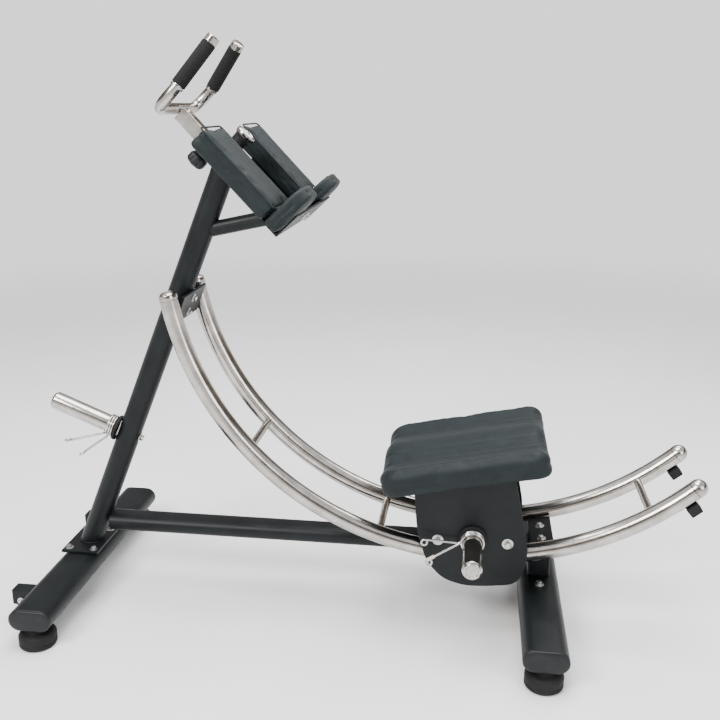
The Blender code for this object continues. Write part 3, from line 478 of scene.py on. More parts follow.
def bolt(name, seat, axis, radius, body):
    """A hexagon bolt head with a washer, seated on a face."""
    axis = Vector(axis).normalized()
    washer = 0.0014
    rim = radius * 1.75
    height = radius * 1.15
    bm = bmesh.new()
    lathe(bm, rounded([(0, 0), (0, rim), (washer, rim), (washer, 0)], 0.0004, 2), seat, axis, sides=32)
    levels = [(0.0, 1.0), (height * 0.86, 1.0), (height, 0.90)]
    shapes = [(washer + level, circle(radius * share, 6)) for level, share in levels]
    loft(bm, shapes, axis, helper_way(axis), seat)
    return piece(name, bm, ZINC, body, smooth_angle=28.0)


# ---------------- post, beam and welds
def clip_beyond(bm, point, normal):
    """Cut a closed mesh by a plane, drop what lies on the normal's side, and close the cut."""
    geometry = bm.verts[:] + bm.edges[:] + bm.faces[:]
    cut = bmesh.ops.bisect_plane(bm, geom=geometry, plane_co=point, plane_no=normal, clear_outer=True)
    edges = [item for item in cut["geom_cut"] if isinstance(item, bmesh.types.BMEdge)]
    bmesh.ops.contextual_create(bm, geom=edges)


def dress_structure():
    """The post and the main beam, a weld at the foot of each, and the base plate's bolts."""
    low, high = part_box("post")
    radius = size_of("post").y / 2
    bm = bmesh.new()
    tube(bm, [POST_FOOT - POST_UP * 0.06, POST_FOOT + POST_UP * 1.25], radius, sides=64)
    clip_beyond(bm, Vector((0, 0, low.z)), Vector((0, 0, -1)))
    sleeve_half = size_of("armrest_sleeve").y / 2
    clip_beyond(bm, middle("armrest_sleeve") - ARM_UP * (sleeve_half + 0.0003), ARM_UP)
    piece("post_tube", bm, POWDER, "frame", ["post"])

    centre = middle("main_beam")
    size = size_of("main_beam")
    shape = oval(size.y, size.z)
    bm = bmesh.new()
    loft(bm, [(-size.x / 2, shape), (size.x / 2, shape)], (1, 0, 0), UP, centre)
    piece("main_beam_tube", bm, POWDER, "frame", ["main_beam"])
    end = centre.x + size.x / 2 - 0.0012
    weld("beam_rear_weld", [Vector((end, y, centre.z + z)) for y, z in shape])

    plate_low, plate_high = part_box("post_base_plate")
    ring = []
    for rearward, across in circle(radius, 48):
        point = POST_FOOT + POST_REAR * rearward + Vector((0, across, 0))
        ring.append(point + POST_UP * ((plate_high.z + 0.0015 - point.z) / POST_UP.z))
    weld("post_base_weld", ring)
    inset = 0.017
    places = [(x, y) for x in (plate_low.x + inset, plate_high.x - inset)
              for y in (plate_low.y + inset, plate_high.y - inset)]
    for index, (x, y) in enumerate(places):
        bolt(f"base_plate_bolt_{index}", Vector((x, y, plate_high.z)), UP, 0.0062, "frame")


def weld(name, points):
    """A rippled weld bead along a closed row of points."""
    radius = 0.0022
    finer = []
    for first, second in zip(points, points[1:] + points[:1]):
        count = max(1, round((second - first).length / radius))
        finer += [first.lerp(second, index / count) for index in range(count)]
    bm = bmesh.new()
    tube(bm, finer, radius, sides=8, closed=True)
    for vert in bm.verts:
        ripple = noise.noise(vert.co * 420.0)
        vert.co += Vector((ripple, -ripple, ripple)) * 0.0003
    return piece(name, bm, POWDER, "frame", smooth_angle=80.0)


# ---------------- rails
def rear_cap_profile():
    """The domed cap of a rail's rear end."""
    skirt = RAIL_TUBE + 0.0002
    depth = 0.008
    reach = math.radians(RAIL_CAP_SEAM) * RAIL_RADIUS + RAIL_TUBE - 0.0085
    profile = [(0.0006, 0), (0.0006, RAIL_TUBE - 0.001), (0.0016, skirt), (depth, skirt)]
    steps = 8
    for index in range(1, steps):
        angle = math.pi / 2 * index / steps
        profile.append((depth + reach * math.sin(angle), skirt * math.cos(angle)))
    return profile + [(depth + reach, 0)]


def front_cap_profile():
    """The flatter cap of a rail's front end."""
    profile = [(0.0006, 0), (0.0006, RAIL_TUBE + 0.0004), (0.006, RAIL_TUBE + 0.0006),
               (0.014, RAIL_TUBE - 0.001), (0.019, RAIL_TUBE - 0.007), (0.021, RAIL_TUBE - 0.012),
               (0.0215, 0)]
    return rounded(profile, 0.0015)


def dress_rails():
    """The two rails with their end caps, the rungs between them, and the bolts that hold them."""
    steps = 120
    sweep = RAIL_FRONT_ANGLE + RAIL_REAR_ANGLE - 2 * RAIL_CAP_SEAM
    for side_name, side in SIDES.items():
        angles = [RAIL_CAP_SEAM - RAIL_FRONT_ANGLE + sweep * index / steps for index in range(steps + 1)]
        points = [rail_point(angle, side) for angle in angles]
        bm = bmesh.new()
        tube(bm, points, RAIL_TUBE, sides=48)
        rail = f"rail_{side_name}"
        piece(f"rail_tube_{side_name}", bm, CHROME, "frame", [rail], smooth_angle=60.0)
        turned(f"rail_rear_cap_{side_name}", rear_cap_profile(), points[-1], points[-1] - points[-2], 48,
               CHROME, "frame", smooth_angle=50.0)
        turned(f"rail_front_cap_{side_name}", front_cap_profile(), points[0], points[0] - points[1], 48,
               CHROME, "frame", smooth_angle=50.0)
    for node in ("rung_front", "rung_middle", "rung_rear"):
        centre = middle(node)
        size = size_of(node)
        ends = [centre + Vector((0, way * size.y / 2, 0)) for way in (-1, 1)]
        bm = bmesh.new()
        tube(bm, ends, size.x / 2, sides=40)
        piece(f"{node}_bar", bm, CHROME, "frame", [node])
    bracket = middle("upper_bracket")
    for index, along in enumerate((-0.022, 0.018)):
        seat = bracket + POST_UP * along + POST_REAR * 0.0035
        bolt(f"upper_bracket_bolt_{index}", seat, POST_REAR, 0.0065, "frame")
    plate = middle("rear_bracket_plate")
    inward = (Vector((RAIL_CENTRE.x, 0, RAIL_CENTRE.z)) - plate).normalized()
    for index, across in enumerate((-0.035, 0.035)):
        seat = plate + inward * 0.003 + Vector((0, across, 0))
        bolt(f"rear_bracket_bolt_{index}", seat, inward, 0.0068, "frame")
    foot_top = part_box("rear_foot")[1].z
    for side_name, side in SIDES.items():
        seat = Vector((middle("rear_foot").x, side * 0.070, foot_top))
        bolt(f"rear_foot_bolt_{side_name}", seat, UP, 0.0072, "frame")


# ---------------- weight horns and spring collars
def dress_horn(node, axis, body):
    """A plated sleeve with a turned end, and its rubber flange."""
    axis = Vector(axis).normalized()
    centre = middle(node)
    radius = HORN_RADIUS
    length = horn_length(size_of(node), axis, radius)
    profile = [(0, 0), (0, radius), (length - 0.006, radius), (length, radius - 0.005),
               (length, radius - 0.009), (length - 0.002, radius - 0.010), (length - 0.002, 0)]
    turned(f"{node}_sleeve", rounded(profile, 0.0012), centre - axis * length / 2, axis, 64,
           CHROME, body, [node])
    flange = f"{node}_flange"
    thickness = HORN_FLANGE_THICKNESS
    outer = HORN_FLANGE_RADIUS
    profile = [(0, radius + 0.0003), (0, outer - 0.001), (0.002, outer), (0.007, outer),
               (thickness, outer - 0.003), (thickness, radius + 0.005), (thickness - 0.002, radius + 0.0003)]
    turned(f"{node}_flange_disc", rounded(profile, 0.0010, 3), middle(flange) - axis * thickness / 2, axis,
           64, RUBBER, body, [flange])


def horn_length(corners, axis, radius):
    """The length of a round bar from the size of the box that holds it."""
    lead = max(range(3), key=lambda index: abs(axis[index]))
    spare = 2 * radius * math.sqrt(max(0.0, 1 - axis[lead] ** 2))
    return (corners[lead] - spare) / abs(axis[lead])


def spring_collar(node, axis, coil_way, arm_ways, body, tips=False):
    """Three turns of wire whose two ends run out as squeezing arms with looped ends."""
    axis = Vector(axis).normalized()
    coil_way = Vector(coil_way)
    coil_way = (coil_way - axis * coil_way.dot(axis)).normalized()
    side_way = axis.cross(coil_way)
    centre = middle(node)
    coil_radius = HORN_RADIUS + 0.0001 + WIRE_RADIUS
    total = math.tau * SPRING_TURNS - SPRING_SPREAD
    count = 40 * SPRING_TURNS
    coil = []
    for index in range(count + 1):
        share = index / count
        angle = total * share + SPRING_SPREAD / 2
        along = (share - 0.5) * SPRING_PITCH * SPRING_TURNS
        outward = coil_way * math.cos(angle) + side_way * math.sin(angle)
        coil.append(centre + axis * along + outward * coil_radius)
    head = spring_arm(coil[0], coil[1], arm_ways[0], axis)
    tail = spring_arm(coil[-1], coil[-2], arm_ways[1], axis)
    path = head[::-1] + coil + tail
    bm = bmesh.new()
    tube(bm, smooth_path(path, 2), WIRE_RADIUS, sides=12, dome=True)
    piece(f"{node}_spring", bm, WIRE, body, [node], smooth_angle=70.0)
    if tips:
        lead = Vector(arm_ways[1]).normalized()
        start = tail[SPRING_ARM_STEPS + 1] - lead * 0.020
        profile = [(0, 0), (0, 0.0042), (0.024, 0.0048), (0.024, 0)]
        turned(f"{node}_tip", rounded(profile, 0.0012, 3), start, lead, 32, PALE_PLASTIC, body)


def spring_arm(end, before_end, lead, axis):
    """One wire arm: it leaves the coil smoothly, runs straight and ends in a small loop."""
    lead = Vector(lead)
    reach = lead.length
    lead = lead.normalized()
    elbow = end + (end - before_end).normalized() * 0.011
    gap = 0.006
    points = [end.lerp(elbow, 0.6)]
    for index in range(SPRING_ARM_STEPS + 1):
        points.append(elbow + lead * (gap + (reach - gap) * index / SPRING_ARM_STEPS))
    tip = points[-1]
    loop = SPRING_LOOP_RADIUS
    normal = (axis - lead * axis.dot(lead)).cross(lead).normalized()
    loop_steps = 12
    for index in range(1, loop_steps + 1):
        angle = math.radians(300) * index / loop_steps
        points.append(tip + lead * loop * math.sin(angle) + normal * loop * (1 - math.cos(angle)))
    return points


def smooth_path(points, rounds):
    """Chaikin corner cutting, which keeps the two ends."""
    for _ in range(rounds):
        finer = [points[0]]
        for first, second in zip(points, points[1:]):
            finer.append(first.lerp(second, 0.25))
            finer.append(first.lerp(second, 0.75))
        finer.append(points[-1])
        points = finer
    return points


# ---------------- handle
def dress_handle():
    """The bent handle tube with its two grips."""
    reach = 0.118
    sleeve_middle = 0.116
    grip_low = RAIL_CENTRE + Vector((-0.697, 0.135, 1.337 - RAIL_CENTRE.z))
    grip_high = RAIL_CENTRE + Vector((-0.624, 0.107, 1.432 - RAIL_CENTRE.z))
    crossbar = middle("armrest_sleeve") - ARM_DOWN * (sleeve_middle + reach)
    crossbar.y = 0
    corner = Vector((crossbar.x, 0.143, crossbar.z))
    inner = corner - Vector((0, 0.034, 0))
    half = [crossbar, crossbar.lerp(inner, 0.5)]
    steps = 18
    for index in range(steps + 1):
        half.append(bend(inner, corner, grip_low, index / steps))
    half += [grip_low.lerp(grip_high, 0.5), grip_high]
    mirrored = [Vector((point.x, -point.y, point.z)) for point in reversed(half[1:])]
    bm = bmesh.new()
    tube(bm, mirrored + half, HANDLE_RADIUS, sides=48, dome=True)
    piece("handle_tube", bm, CHROME, "handle", ["handle_bar"], smooth_angle=60.0)
    way = (grip_high - grip_low).normalized()
    for side_name, side in SIDES.items():
        mirror = Vector((1, side, 1))
        start = (grip_low + way * 0.004) * mirror
        end = (grip_high - way * 0.003) * mirror
        dress_grip(side_name, start, end)


def dress_grip(side_name, start, end):
    """A ribbed foam sleeve between two plated ends, each seated on the handle tube."""
    length = (end - start).length
    way = (end - start).normalized()
    seat = HANDLE_RADIUS + 0.0002
    inside = HANDLE_RADIUS + 0.0003
    outside = HANDLE_RADIUS + 0.0036
    ease = 0.0012
    rib = 0.00045
    stations = 68
    profile = [(0, inside), (0, outside - ease), (ease, outside)]
    for index in range(1, stations):
        depth = rib if index % 2 else 0.0
        profile.append((ease + (length - 2 * ease) * index / stations, outside - depth))
    profile += [(length - ease, outside), (length, outside - ease), (length, inside)]
    turned(f"grip_{side_name}_foam", profile, start, way, 56, FOAM, "handle",
           [f"grip_{side_name}"], smooth_angle=75.0)

    ring = HANDLE_RADIUS + 0.0026
    profile = [(0, seat), (0, ring), (0.006, ring), (0.006, seat)]
    turned(f"grip_{side_name}_ring", rounded(profile, 0.0008, 3), start - way * 0.0075, way, 48,
           CHROME, "handle")

    cap = HANDLE_RADIUS + 0.0022
    groove = cap - 0.0007
    profile = [(0, 0), (0, cap - 0.0006)]
    for index in range(4):
        station = 0.001 + 0.0034 * index
        profile += [(station, cap), (station + 0.0024, cap), (station + 0.0028, groove),
                    (station + 0.0032, groove)]
    profile += [(0.0148, cap), (0.0168, cap - 0.001), (0.0175, cap - 0.003), (0.0178, 0)]
    turned(f"grip_{side_name}_end_cap", profile, end + way * 0.0004, way, 56, CHROME, "handle",
           smooth_angle=30.0)


def dress_knob():
    """A lobed hand knob on its neck."""
    tip = pivot_of("clamp_knob_turn")
    axis = Vector(JOINTS["clamp_knob_turn"]["axis"]).normalized()
    lobes = 6
    lobe_start = 0.0185
    neck = 0.012
    profile = [(0, 0), (0, 0.005), (0.011, 0.005), (0.011, 0.010), (0.018, 0.011), (0.020, 0.0215),
               (0.024, 0.0245), (0.040, 0.0245), (0.0455, 0.019), (0.046, 0)]
    bm = bmesh.new()
    lathe(bm, rounded(profile, 0.003), tip, axis, sides=96)
    other = axis.cross(ARM_DOWN)
    for vert in bm.verts:
        offset = vert.co - tip
        along = offset.dot(axis)
        radial = offset - axis * along
        if along > lobe_start and radial.length > neck:
            angle = math.atan2(radial.dot(other), radial.dot(ARM_DOWN))
            shrink = 0.10 * (0.5 + 0.5 * math.cos(lobes * angle)) ** 2
            vert.co -= radial * shrink
    piece("clamp_knob_grip", bm, PLASTIC, "knob", ["clamp_knob"], smooth_angle=50.0)


def dress_counter():
    """The round counter: a moulded body, a plated bezel and a domed face."""
    node = "rep_counter"
    centre = middle(node)
    corners = size_of(node)
    radius = corners.y / 2
    length = horn_length(corners, ARM_UP, radius)
    base = centre - ARM_UP * length / 2
    profile = [(0, 0), (0, radius - 0.007), (length - 0.016, radius - 0.005),
               (length - 0.012, radius - 0.001), (length - 0.009, radius - 0.001), (length - 0.009, 0)]
    turned("counter_body", rounded(profile, 0.0015), base, ARM_UP, 64, PLASTIC, "frame", [node])
    profile = [(length - 0.0088, radius - 0.006), (length - 0.0088, radius), (length - 0.002, radius),
               (length, radius - 0.002), (length, radius - 0.0045), (length - 0.002, radius - 0.006)]
    turned("counter_bezel", rounded(profile, 0.0008, 3), base, ARM_UP, 64, CHROME, "frame")
    inner = radius - 0.0062
    rise = 0.0022
    profile = [(length - 0.0087, 0), (length - 0.0087, inner), (length - 0.0030, inner)]
    steps = 6
    for index in range(1, steps):
        angle = math.pi / 2 * index / steps
        profile.append((length - 0.0030 + rise * math.sin(angle), inner * math.cos(angle)))
    profile.append((length - 0.0030 + rise, 0))
    turned("counter_face", profile, base, ARM_UP, 64, FACE, "frame")


# ---------------- padded pieces
def pad_mesh(length, width, height, plan_radii, edge_radius):
    """A closed cushion form in its own directions, its underside at zero height.

    The two plan radii are those of the corners ahead and behind.
    """
    smallest_corner = 0.004
    furthest_in = min(length, width) / 2
    shoulder = height - edge_radius
    levels = [(0.0, edge_radius * 0.35), (edge_radius * 0.35, 0.0), (shoulder, 0.0)]
    steps = 5
    for index in range(1, steps + 1):
        angle = math.pi / 2 * index / steps
        levels.append((shoulder + edge_radius * math.sin(angle), edge_radius * (1 - math.cos(angle))))
    for share in (0.15, 0.35, 0.6, 0.85):
        levels.append((height, edge_radius + share * (furthest_in - edge_radius)))
    bm = bmesh.new()
    rings = []
    for z, wanted in levels:
        shrink = min(wanted, furthest_in - 0.006)
        radii = [max(radius - shrink, smallest_corner) for radius in plan_radii]
        outline = rounded_rectangle(length / 2 - shrink, width / 2 - shrink, radii, 10)
        rings.append([bm.verts.new((x, y, z)) for x, y in outline])
    skin(bm, rings)
    bmesh.ops.recalc_face_normals(bm, faces=bm.faces)
    return bm


def inflate(item, cap):
    """Let pressure swell a closed form of cloth, move no point further than the cap, and keep the result."""
    frames = 20
    start = [vert.co.copy() for vert in item.data.vertices]
    cloth = item.modifiers.new("cloth", "CLOTH")
    cloth.settings.quality = 5
    cloth.settings.mass = 0.3
    cloth.settings.tension_stiffness = 18
    cloth.settings.compression_stiffness = 14
    cloth.settings.shear_stiffness = 6
    cloth.settings.bending_stiffness = 0.6
    cloth.settings.use_pressure = True
    cloth.settings.uniform_pressure_force = 4.0
    cloth.settings.effector_weights.gravity = 0
    cloth.collision_settings.use_self_collision = False
    cloth.point_cache.frame_start = 1
    cloth.point_cache.frame_end = frames
    scene = bpy.context.scene
    for number in range(1, frames + 1):
        scene.frame_set(number)
    shaped = item.evaluated_get(bpy.context.evaluated_depsgraph_get())
    moved = [vert.co.copy() for vert in shaped.data.vertices]
    item.modifiers.remove(cloth)
    scene.frame_set(1)
    for vert, before, after in zip(item.data.vertices, start, moved):
        step = after - before
        if step.length > cap:
            step *= cap / step.length
        vert.co = before + step


def with_side_seam(point, length, width, level):
    """Draw a point near a pad's sides inwards along the seam between its top and its border."""
    near_side = 0.9
    on_side = 0.93
    depth = 0.0026 * math.exp(-((point.z - level) / 0.0035) ** 2)
    outward = Vector((point.x / (length / 2), point.y / (width / 2), 0))
    nearness = max(abs(outward.x), abs(outward.y))
    if nearness < near_side:
        return point
    pucker = 1 + 0.35 * noise.noise(Vector((point.x * 60, point.y * 60, 4.0)))
    way = Vector((math.copysign(1, point.x) if abs(outward.x) > on_side else 0,
                  math.copysign(1, point.y) if abs(outward.y) > on_side else 0, 0))
    return point - way * depth * pucker


def padded_piece(name, node, body, size, along, up, base, shape, cap, voxel, plan_radii, edge_radius,
                 seam_height=0.5, mirror=None):
    """Make one cushion by cloth simulation, shape its seams, then set it in place.

    With a mirror, its mesh is the finished one of the other side, turned over.
    """
    length, width, height = size
    if mirror is None:
        slack = cap * 0.55
        bm = pad_mesh(length - 2 * slack, width - 2 * slack, height - slack, plan_radii, edge_radius)
        mesh = bpy.data.meshes.new(name)
        bm.to_mesh(mesh)
        bm.free()
        item = bpy.data.objects.new(name, mesh)
        bpy.context.collection.objects.link(item)
        remesh = item.modifiers.new("remesh", "REMESH")
        remesh.mode = "VOXEL"
        remesh.voxel_size = voxel
        shaped = item.evaluated_get(bpy.context.evaluated_depsgraph_get())
        item.data = bpy.data.meshes.new_from_object(shaped)
        item.modifiers.clear()
        for vert in item.data.vertices:
            vert.co.z += shape(vert.co.x, vert.co.y) * smoothstep(vert.co.z / height)
        inflate(item, cap)
        for vert in item.data.vertices:
            lift = smoothstep(vert.co.z / height)
            vert.co.z += 0.0011 * noise.noise(Vector((vert.co.x * 9, vert.co.y * 9, 0.3))) * lift
            vert.co.z = max(vert.co.z, 0.0)
            vert.co = with_side_seam(vert.co, length, width, height * seam_height)
        store = [vert.co.copy() for vert in item.data.vertices]
    else:
        item = bpy.data.objects.new(name, mirror.data.copy())
        bpy.context.collection.objects.link(item)
        store = [Vector((co[0], -co[1], co[2])) for co in mirror["pad_local"]]
        item.data.flip_normals()
    item["pad_local"] = [tuple(co) for co in store]
    across = Vector(up).cross(Vector(along))
    for vert, co in zip(item.data.vertices, store):
        vert.co = Vector(base) + Vector(along) * co.x + across * co.y + Vector(up) * co.z
    item.data.materials.clear()
    item.data.materials.append(LEATHER)
    item.data.shade_smooth()
    fine = item.modifiers.new("fine", "SUBSURF")
    fine.levels = 1
    fine.render_levels = 1
    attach(item, body)
    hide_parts(node)
    return item


def smoothstep(value):
    """Nought to one with level ends."""
    value = min(max(value, 0.0), 1.0)
    return value * value * (3 - 2 * value)


def welt(name, body, length, width, height, plan_radius, along, up, base):
    """Piping round the top edge of a pad."""
    points = rounded_rectangle(length / 2, width / 2, (plan_radius, plan_radius), 8)
    finer = []
    for first, second in zip(points, points[1:] + points[:1]):
        count = max(1, round(math.dist(first, second) / 0.006))
        for index in range(count):
            finer.append(Vector(first).lerp(Vector(second), index / count))
    across = Vector(up).cross(Vector(along))
    start = Vector(base) + Vector(up) * height
    path = [start + Vector(along) * point.x + across * point.y for point in finer]
    bm = bmesh.new()
    tube(bm, path, 0.0021, sides=12, closed=True)
    piece(name, bm, LEATHER, body, smooth_angle=80.0)


def knee_channels(x, y):
    """Two knee channels and their stitched lines, in the pad's own directions."""
    half_width = 0.195
    channel = -0.013 * (0.5 - 0.5 * math.cos(math.tau * min(abs(y) / half_width, 1.0)))
    seam = -0.0030 * math.exp(-((abs(y) - half_width / 2) / 0.0045) ** 2)
    tuck = -0.0014 * math.exp(-((abs(y) - 0.045) / 0.004) ** 2)
    return channel + seam + tuck


def arm_dish(x, y):
    """A shallow trough that holds the forearm, with a stitched line along its outer side."""
    trough = -0.004 * math.exp(-(y / 0.040) ** 2)
    seam = -0.0030 * math.exp(-((y - 0.030) / 0.0045) ** 2)
    return trough + seam


def no_change(x, y):
    """The top of a pad that stays level."""
    return 0.0


def dress_pads():
    """The knee pad, and on each side the arm pad with its piping and the elbow stop."""
    padded_piece("knee_cushion", "knee_pad", "carriage", (0.438, 0.390, 0.066), TILTED_ALONG, TILTED_UP,
                 knee_base(), knee_channels, 0.008, 0.0055, (0.034, 0.052), 0.020, seam_height=0.40)
    arm = None
    stop = None
    arm_length, arm_width, arm_height = 0.2355, 0.155, 0.0485
    arm_corner = 0.012
    stop_length, stop_height = 0.036, 0.1165
    trim = 0.003
    for side_name in SIDES:
        base = middle(f"arm_pad_{side_name}") - ARM_UP * arm_height / 2
        arm = padded_piece(f"arm_cushion_{side_name}", f"arm_pad_{side_name}", "frame",
                           (arm_length, arm_width, arm_height), ARM_DOWN, ARM_UP, base, arm_dish, 0.004,
                           0.0045, (arm_corner, arm_corner), 0.008, mirror=arm)
        welt(f"arm_piping_{side_name}", "frame", arm_length - trim, arm_width - trim, arm_height - 0.005,
             arm_corner, ARM_DOWN, ARM_UP, base)
        base = middle(f"elbow_stop_{side_name}") - ARM_DOWN * stop_length / 2
        stop = padded_piece(f"elbow_cushion_{side_name}", f"elbow_stop_{side_name}", "frame",
                            (stop_height, arm_width, stop_length), ARM_UP * -1, ARM_DOWN, base, no_change,
                            0.003, 0.0042, (0.010, 0.052), 0.008, mirror=stop)


def knee_base():
    """The middle of the knee pad's underside, from its cross plate."""
    plate_half_thickness = 0.003
    gap = 0.0006
    top = middle("carriage_cross_plate") + TILTED_UP * (plate_half_thickness + gap)
    along = (middle("knee_pad") - top).dot(TILTED_ALONG)
    point = top + TILTED_ALONG * along
    point.y = 0
    return point


# ---------------- carriage
def dress_carriage():
    """The two side plates with their rollers, weight horns and spring collars."""
    for side_name, side in SIDES.items():
        low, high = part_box(f"carriage_plate_{side_name}")
        outer = low.y if side < 0 else high.y
        dress_side_plate(side_name, side, outer)
        for name in ROLLERS:
            pivot = pivot_of(f"{name}_{side_name}_spin")
            start = Vector((pivot.x, outer - side * 0.007, pivot.z))
            profile = [(0, 0), (0, 0.006), (0.052, 0.006), (0.052, 0)]
            turned(f"{name}_axle_{side_name}", rounded(profile, 0.0008, 3), start, (0, -side, 0), 32,
                   ZINC, "carriage")
        for name in ROLLERS:
            pivot = pivot_of(f"{name}_{side_name}_spin")
            seat = Vector((pivot.x, outer, pivot.z))
            bolt(f"{name}_bolt_{side_name}", seat, (0, side, 0), 0.0080, "carriage")
            dress_roller(f"{name}_{side_name}", pivot)
        dress_horn(f"carriage_horn_{side_name}", (0, side, 0), "carriage")
        arms = [(-0.088, side * 0.016, 0.012), (-0.078, side * 0.022, -0.040)]
        spring_collar(f"carriage_horn_{side_name}_collar", (0, side, 0), (-1, 0, -0.1), arms[::-side],
                      f"carriage_collar_{side_name}_body", tips=side < 0)


def dress_side_plate(side_name, side, outer):
    """The plate's own outline with its corners rounded and its edges eased."""
    node = f"carriage_plate_{side_name}"
    corners = {(round(v.co.x, 5), round(v.co.z, 5)) for v in frame["nodes"][node].data.vertices
               if abs(v.co.y - outer) < 1e-5}
    centre = sum((Vector(corner) for corner in corners), Vector((0, 0))) / len(corners)
    corners = sorted(corners, key=lambda corner: math.atan2(corner[1] - centre.y, corner[0] - centre.x))
    outline = []
    count = len(corners)
    steps = 8
    for index in range(count):
        before, corner, after = (Vector(corners[(index + step) % count]) for step in (-1, 0, 1))
        reach = 0.42 * min((corner - before).length, (after - corner).length)
        if corner.y > PLATE_TOP_CORNERS:
            reach = 0.004
        start = corner + (before - corner).normalized() * reach
        end = corner + (after - corner).normalized() * reach
        outline += [bend(start, corner, end, step / steps) for step in range(steps + 1)]
    ease = 0.0009
    bm = bmesh.new()
    rings = []
    for level, shrink in ((0.0, ease), (ease, 0.0), (PLATE_THICKNESS - ease, 0.0), (PLATE_THICKNESS, ease)):
        y = outer - side * (PLATE_THICKNESS - level)
        eased = [point + (centre - point).normalized() * shrink for point in outline]
        rings.append([bm.verts.new((point.x, y, point.y)) for point in eased])
    skin(bm, rings)
    piece(f"side_plate_{side_name}", bm, POWDER, "carriage", [node], smooth_angle=30.0)


def dress_roller(node, pivot):
    """A roller whose groove follows the rail tube."""
    half = size_of(node).y / 2
    groove = RAIL_TUBE + 0.0005
    waist = 0.020 if node.startswith("upper") else 0.013
    reach = groove + waist
    bore = 0.0065
    hub = 0.011
    profile = [(-half, bore), (-half, hub)]
    steps = 18
    for index in range(steps + 1):
        station = -half + 2 * half * index / steps
        profile.append((station, reach - math.sqrt(groove * groove - station * station)))
    profile += [(half, hub), (half, bore)]
    turned(f"{node}_wheel", profile, pivot, (0, 1, 0), 48, PLASTIC, f"{node}_body", [node],
           smooth_angle=35.0)


def dress_last_bolts():
    """The bolts of the arm rest's end flange, and the nut behind the storage horn."""
    low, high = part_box("armrest_plate")
    for index, across in enumerate((-0.022, 0.022)):
        seat = Vector((high.x - 0.0241, across, low.z + 0.0224))
        bolt(f"arm_plate_bolt_{index}", seat, ARM_DOWN, 0.0068, "frame")
    distance = (middle("storage_horn") - POST_FOOT).dot(POST_UP)
    seat = POST_FOOT + POST_UP * distance + POST_REAR * 0.030
    bolt("storage_horn_nut", seat, POST_REAR, 0.0075, "frame")


# ---------------- carried-over CAD pieces
def finish_cad():
    """The looks of the pieces that keep their CAD shape."""
    kept = {
        POWDER: ["post_base_plate", "rear_upright", "rear_bracket_plate", "upper_bracket",
                 "armrest_sleeve", "armrest_plate", "armrest_brace", "carriage_cross_plate",
                 "wheel_bracket_near", "wheel_bracket_far"],
        RUBBER: ["rail_bumper_near", "rail_bumper_far"],
        CHROME: ["handle_stem"],
    }
    for material, names in kept.items():
        for name in names:
            for slot in frame["nodes"][name].material_slots:
                slot.material = material


# ---------------- stage
def make_floor():
    """A pale floor that fades out with distance."""
    bpy.ops.mesh.primitive_plane_add(size=14, location=(0, 0, -0.0005))
    floor = bpy.context.object
    floor.name = "studio_floor"
    material, tree, shader = new_material("studio_floor")
    shader.inputs["Roughness"].default_value = 0.85
    space = object_coordinates(tree)
    mottle = add_node(tree, "ShaderNodeTexNoise", Scale=1.5, Detail=2.0)
    tree.links.new(space, mottle.inputs["Vector"])
    colour_mix(tree, shader, mottle.outputs["Fac"], (0.87, 0.87, 0.87), (0.90, 0.90, 0.90))
    distance = tree.nodes.new("ShaderNodeVectorMath")
    distance.operation = "LENGTH"
    fade = add_node(tree, "ShaderNodeMapRange", From_Min=2.4, From_Max=6.5, To_Min=1.0, To_Max=0.0)
    fade.interpolation_type = "SMOOTHSTEP"
    tree.links.new(space, distance.inputs[0])
    tree.links.new(distance.outputs["Value"], fade.inputs["Value"])
    tree.links.new(fade.outputs["Result"], shader.inputs["Alpha"])
    floor.data.materials.append(material)


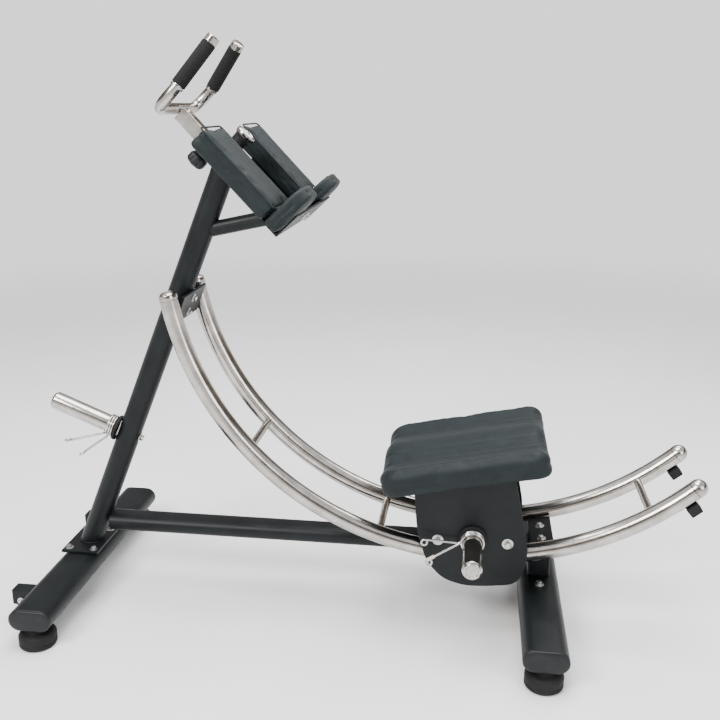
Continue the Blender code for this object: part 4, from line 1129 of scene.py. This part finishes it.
def make_world():
    """White below, a dark warm band at the height of the machine, and a pale sky to reflect."""
    world = bpy.data.worlds.new("studio")
    world.use_nodes = True
    tree = world.node_tree
    background = tree.nodes["Background"]
    source = tree.nodes.new("ShaderNodeTexCoord")
    split = tree.nodes.new("ShaderNodeSeparateXYZ")
    ramp = tree.nodes.new("ShaderNodeValToRGB")
    tree.links.new(source.outputs["Generated"], split.inputs["Vector"])
    tree.links.new(split.outputs["Z"], ramp.inputs["Fac"])
    tree.links.new(ramp.outputs["Color"], background.inputs["Color"])
    stops = [(0.0, (1.0, 1.0, 1.0)), (0.12, (1.0, 1.0, 1.0)), (0.20, (0.20, 0.165, 0.13)),
             (0.50, (0.10, 0.085, 0.075)), (0.66, (0.92, 0.94, 0.98)), (1.0, (0.55, 0.56, 0.58))]
    elements = ramp.color_ramp.elements
    while len(elements) < len(stops):
        elements.new(0.5)
    for element, (position, colour) in zip(elements, stops):
        element.position = position
        element.color = (*colour, 1)
    background.inputs["Strength"].default_value = 1.45
    bpy.context.scene.world = world


def make_light(name, place, size, power, tint):
    """A round soft light that faces the middle of the machine."""
    data = bpy.data.lights.new(name, "AREA")
    data.shape = "DISK"
    data.size = size
    data.energy = power
    data.color = tint
    lamp = bpy.data.objects.new(name, data)
    lamp.location = place
    target = Vector((0, 0, 0.6))
    lamp.rotation_euler = (target - Vector(place)).to_track_quat("-Z", "Y").to_euler()
    bpy.context.collection.objects.link(lamp)


def make_camera():
    """The camera of the photo: a short telephoto, a little above the machine and looking down."""
    look_down = 16.24
    look_left = 7.62
    data = bpy.data.cameras.new("camera")
    data.sensor_width = 36.0
    data.lens = 43.6
    camera = bpy.data.objects.new("camera", data)
    camera.location = (RAIL_CENTRE.x - 0.018, -2.112, 1.295)
    camera.rotation_euler = (math.radians(90 - look_down), 0, math.radians(look_left))
    bpy.context.collection.objects.link(camera)
    bpy.context.scene.camera = camera


make_floor()
make_world()
make_light("key_light", (-1.8, -2.6, 3.0), 1.6, 170, (1.0, 0.98, 0.95))
make_light("fill_light", (2.6, -2.2, 1.8), 1.8, 50, (0.94, 0.97, 1.0))
make_light("rim_light", (1.2, 1.8, 3.6), 1.8, 60, (1.0, 1.0, 1.0))
make_light("top_light", (0.0, 0.0, 3.6), 2.2, 150, (1.0, 1.0, 1.0))
make_camera()
dress_foot("front_foot")
dress_foot("rear_foot")
for wheel_side_name, wheel_side in SIDES.items():
    dress_wheel(wheel_side_name, wheel_side)
dress_structure()
dress_rails()
dress_horn("storage_horn", -POST_REAR, "frame")
spring_collar("storage_horn_collar", -POST_REAR, (0, -0.75, -0.65),
              [(-0.072, -0.018, -0.050), (-0.086, -0.030, -0.014)], "storage_collar_body")
dress_handle()
dress_knob()
dress_counter()
dress_pads()
dress_carriage()
finish_cad()
dress_last_bolts()
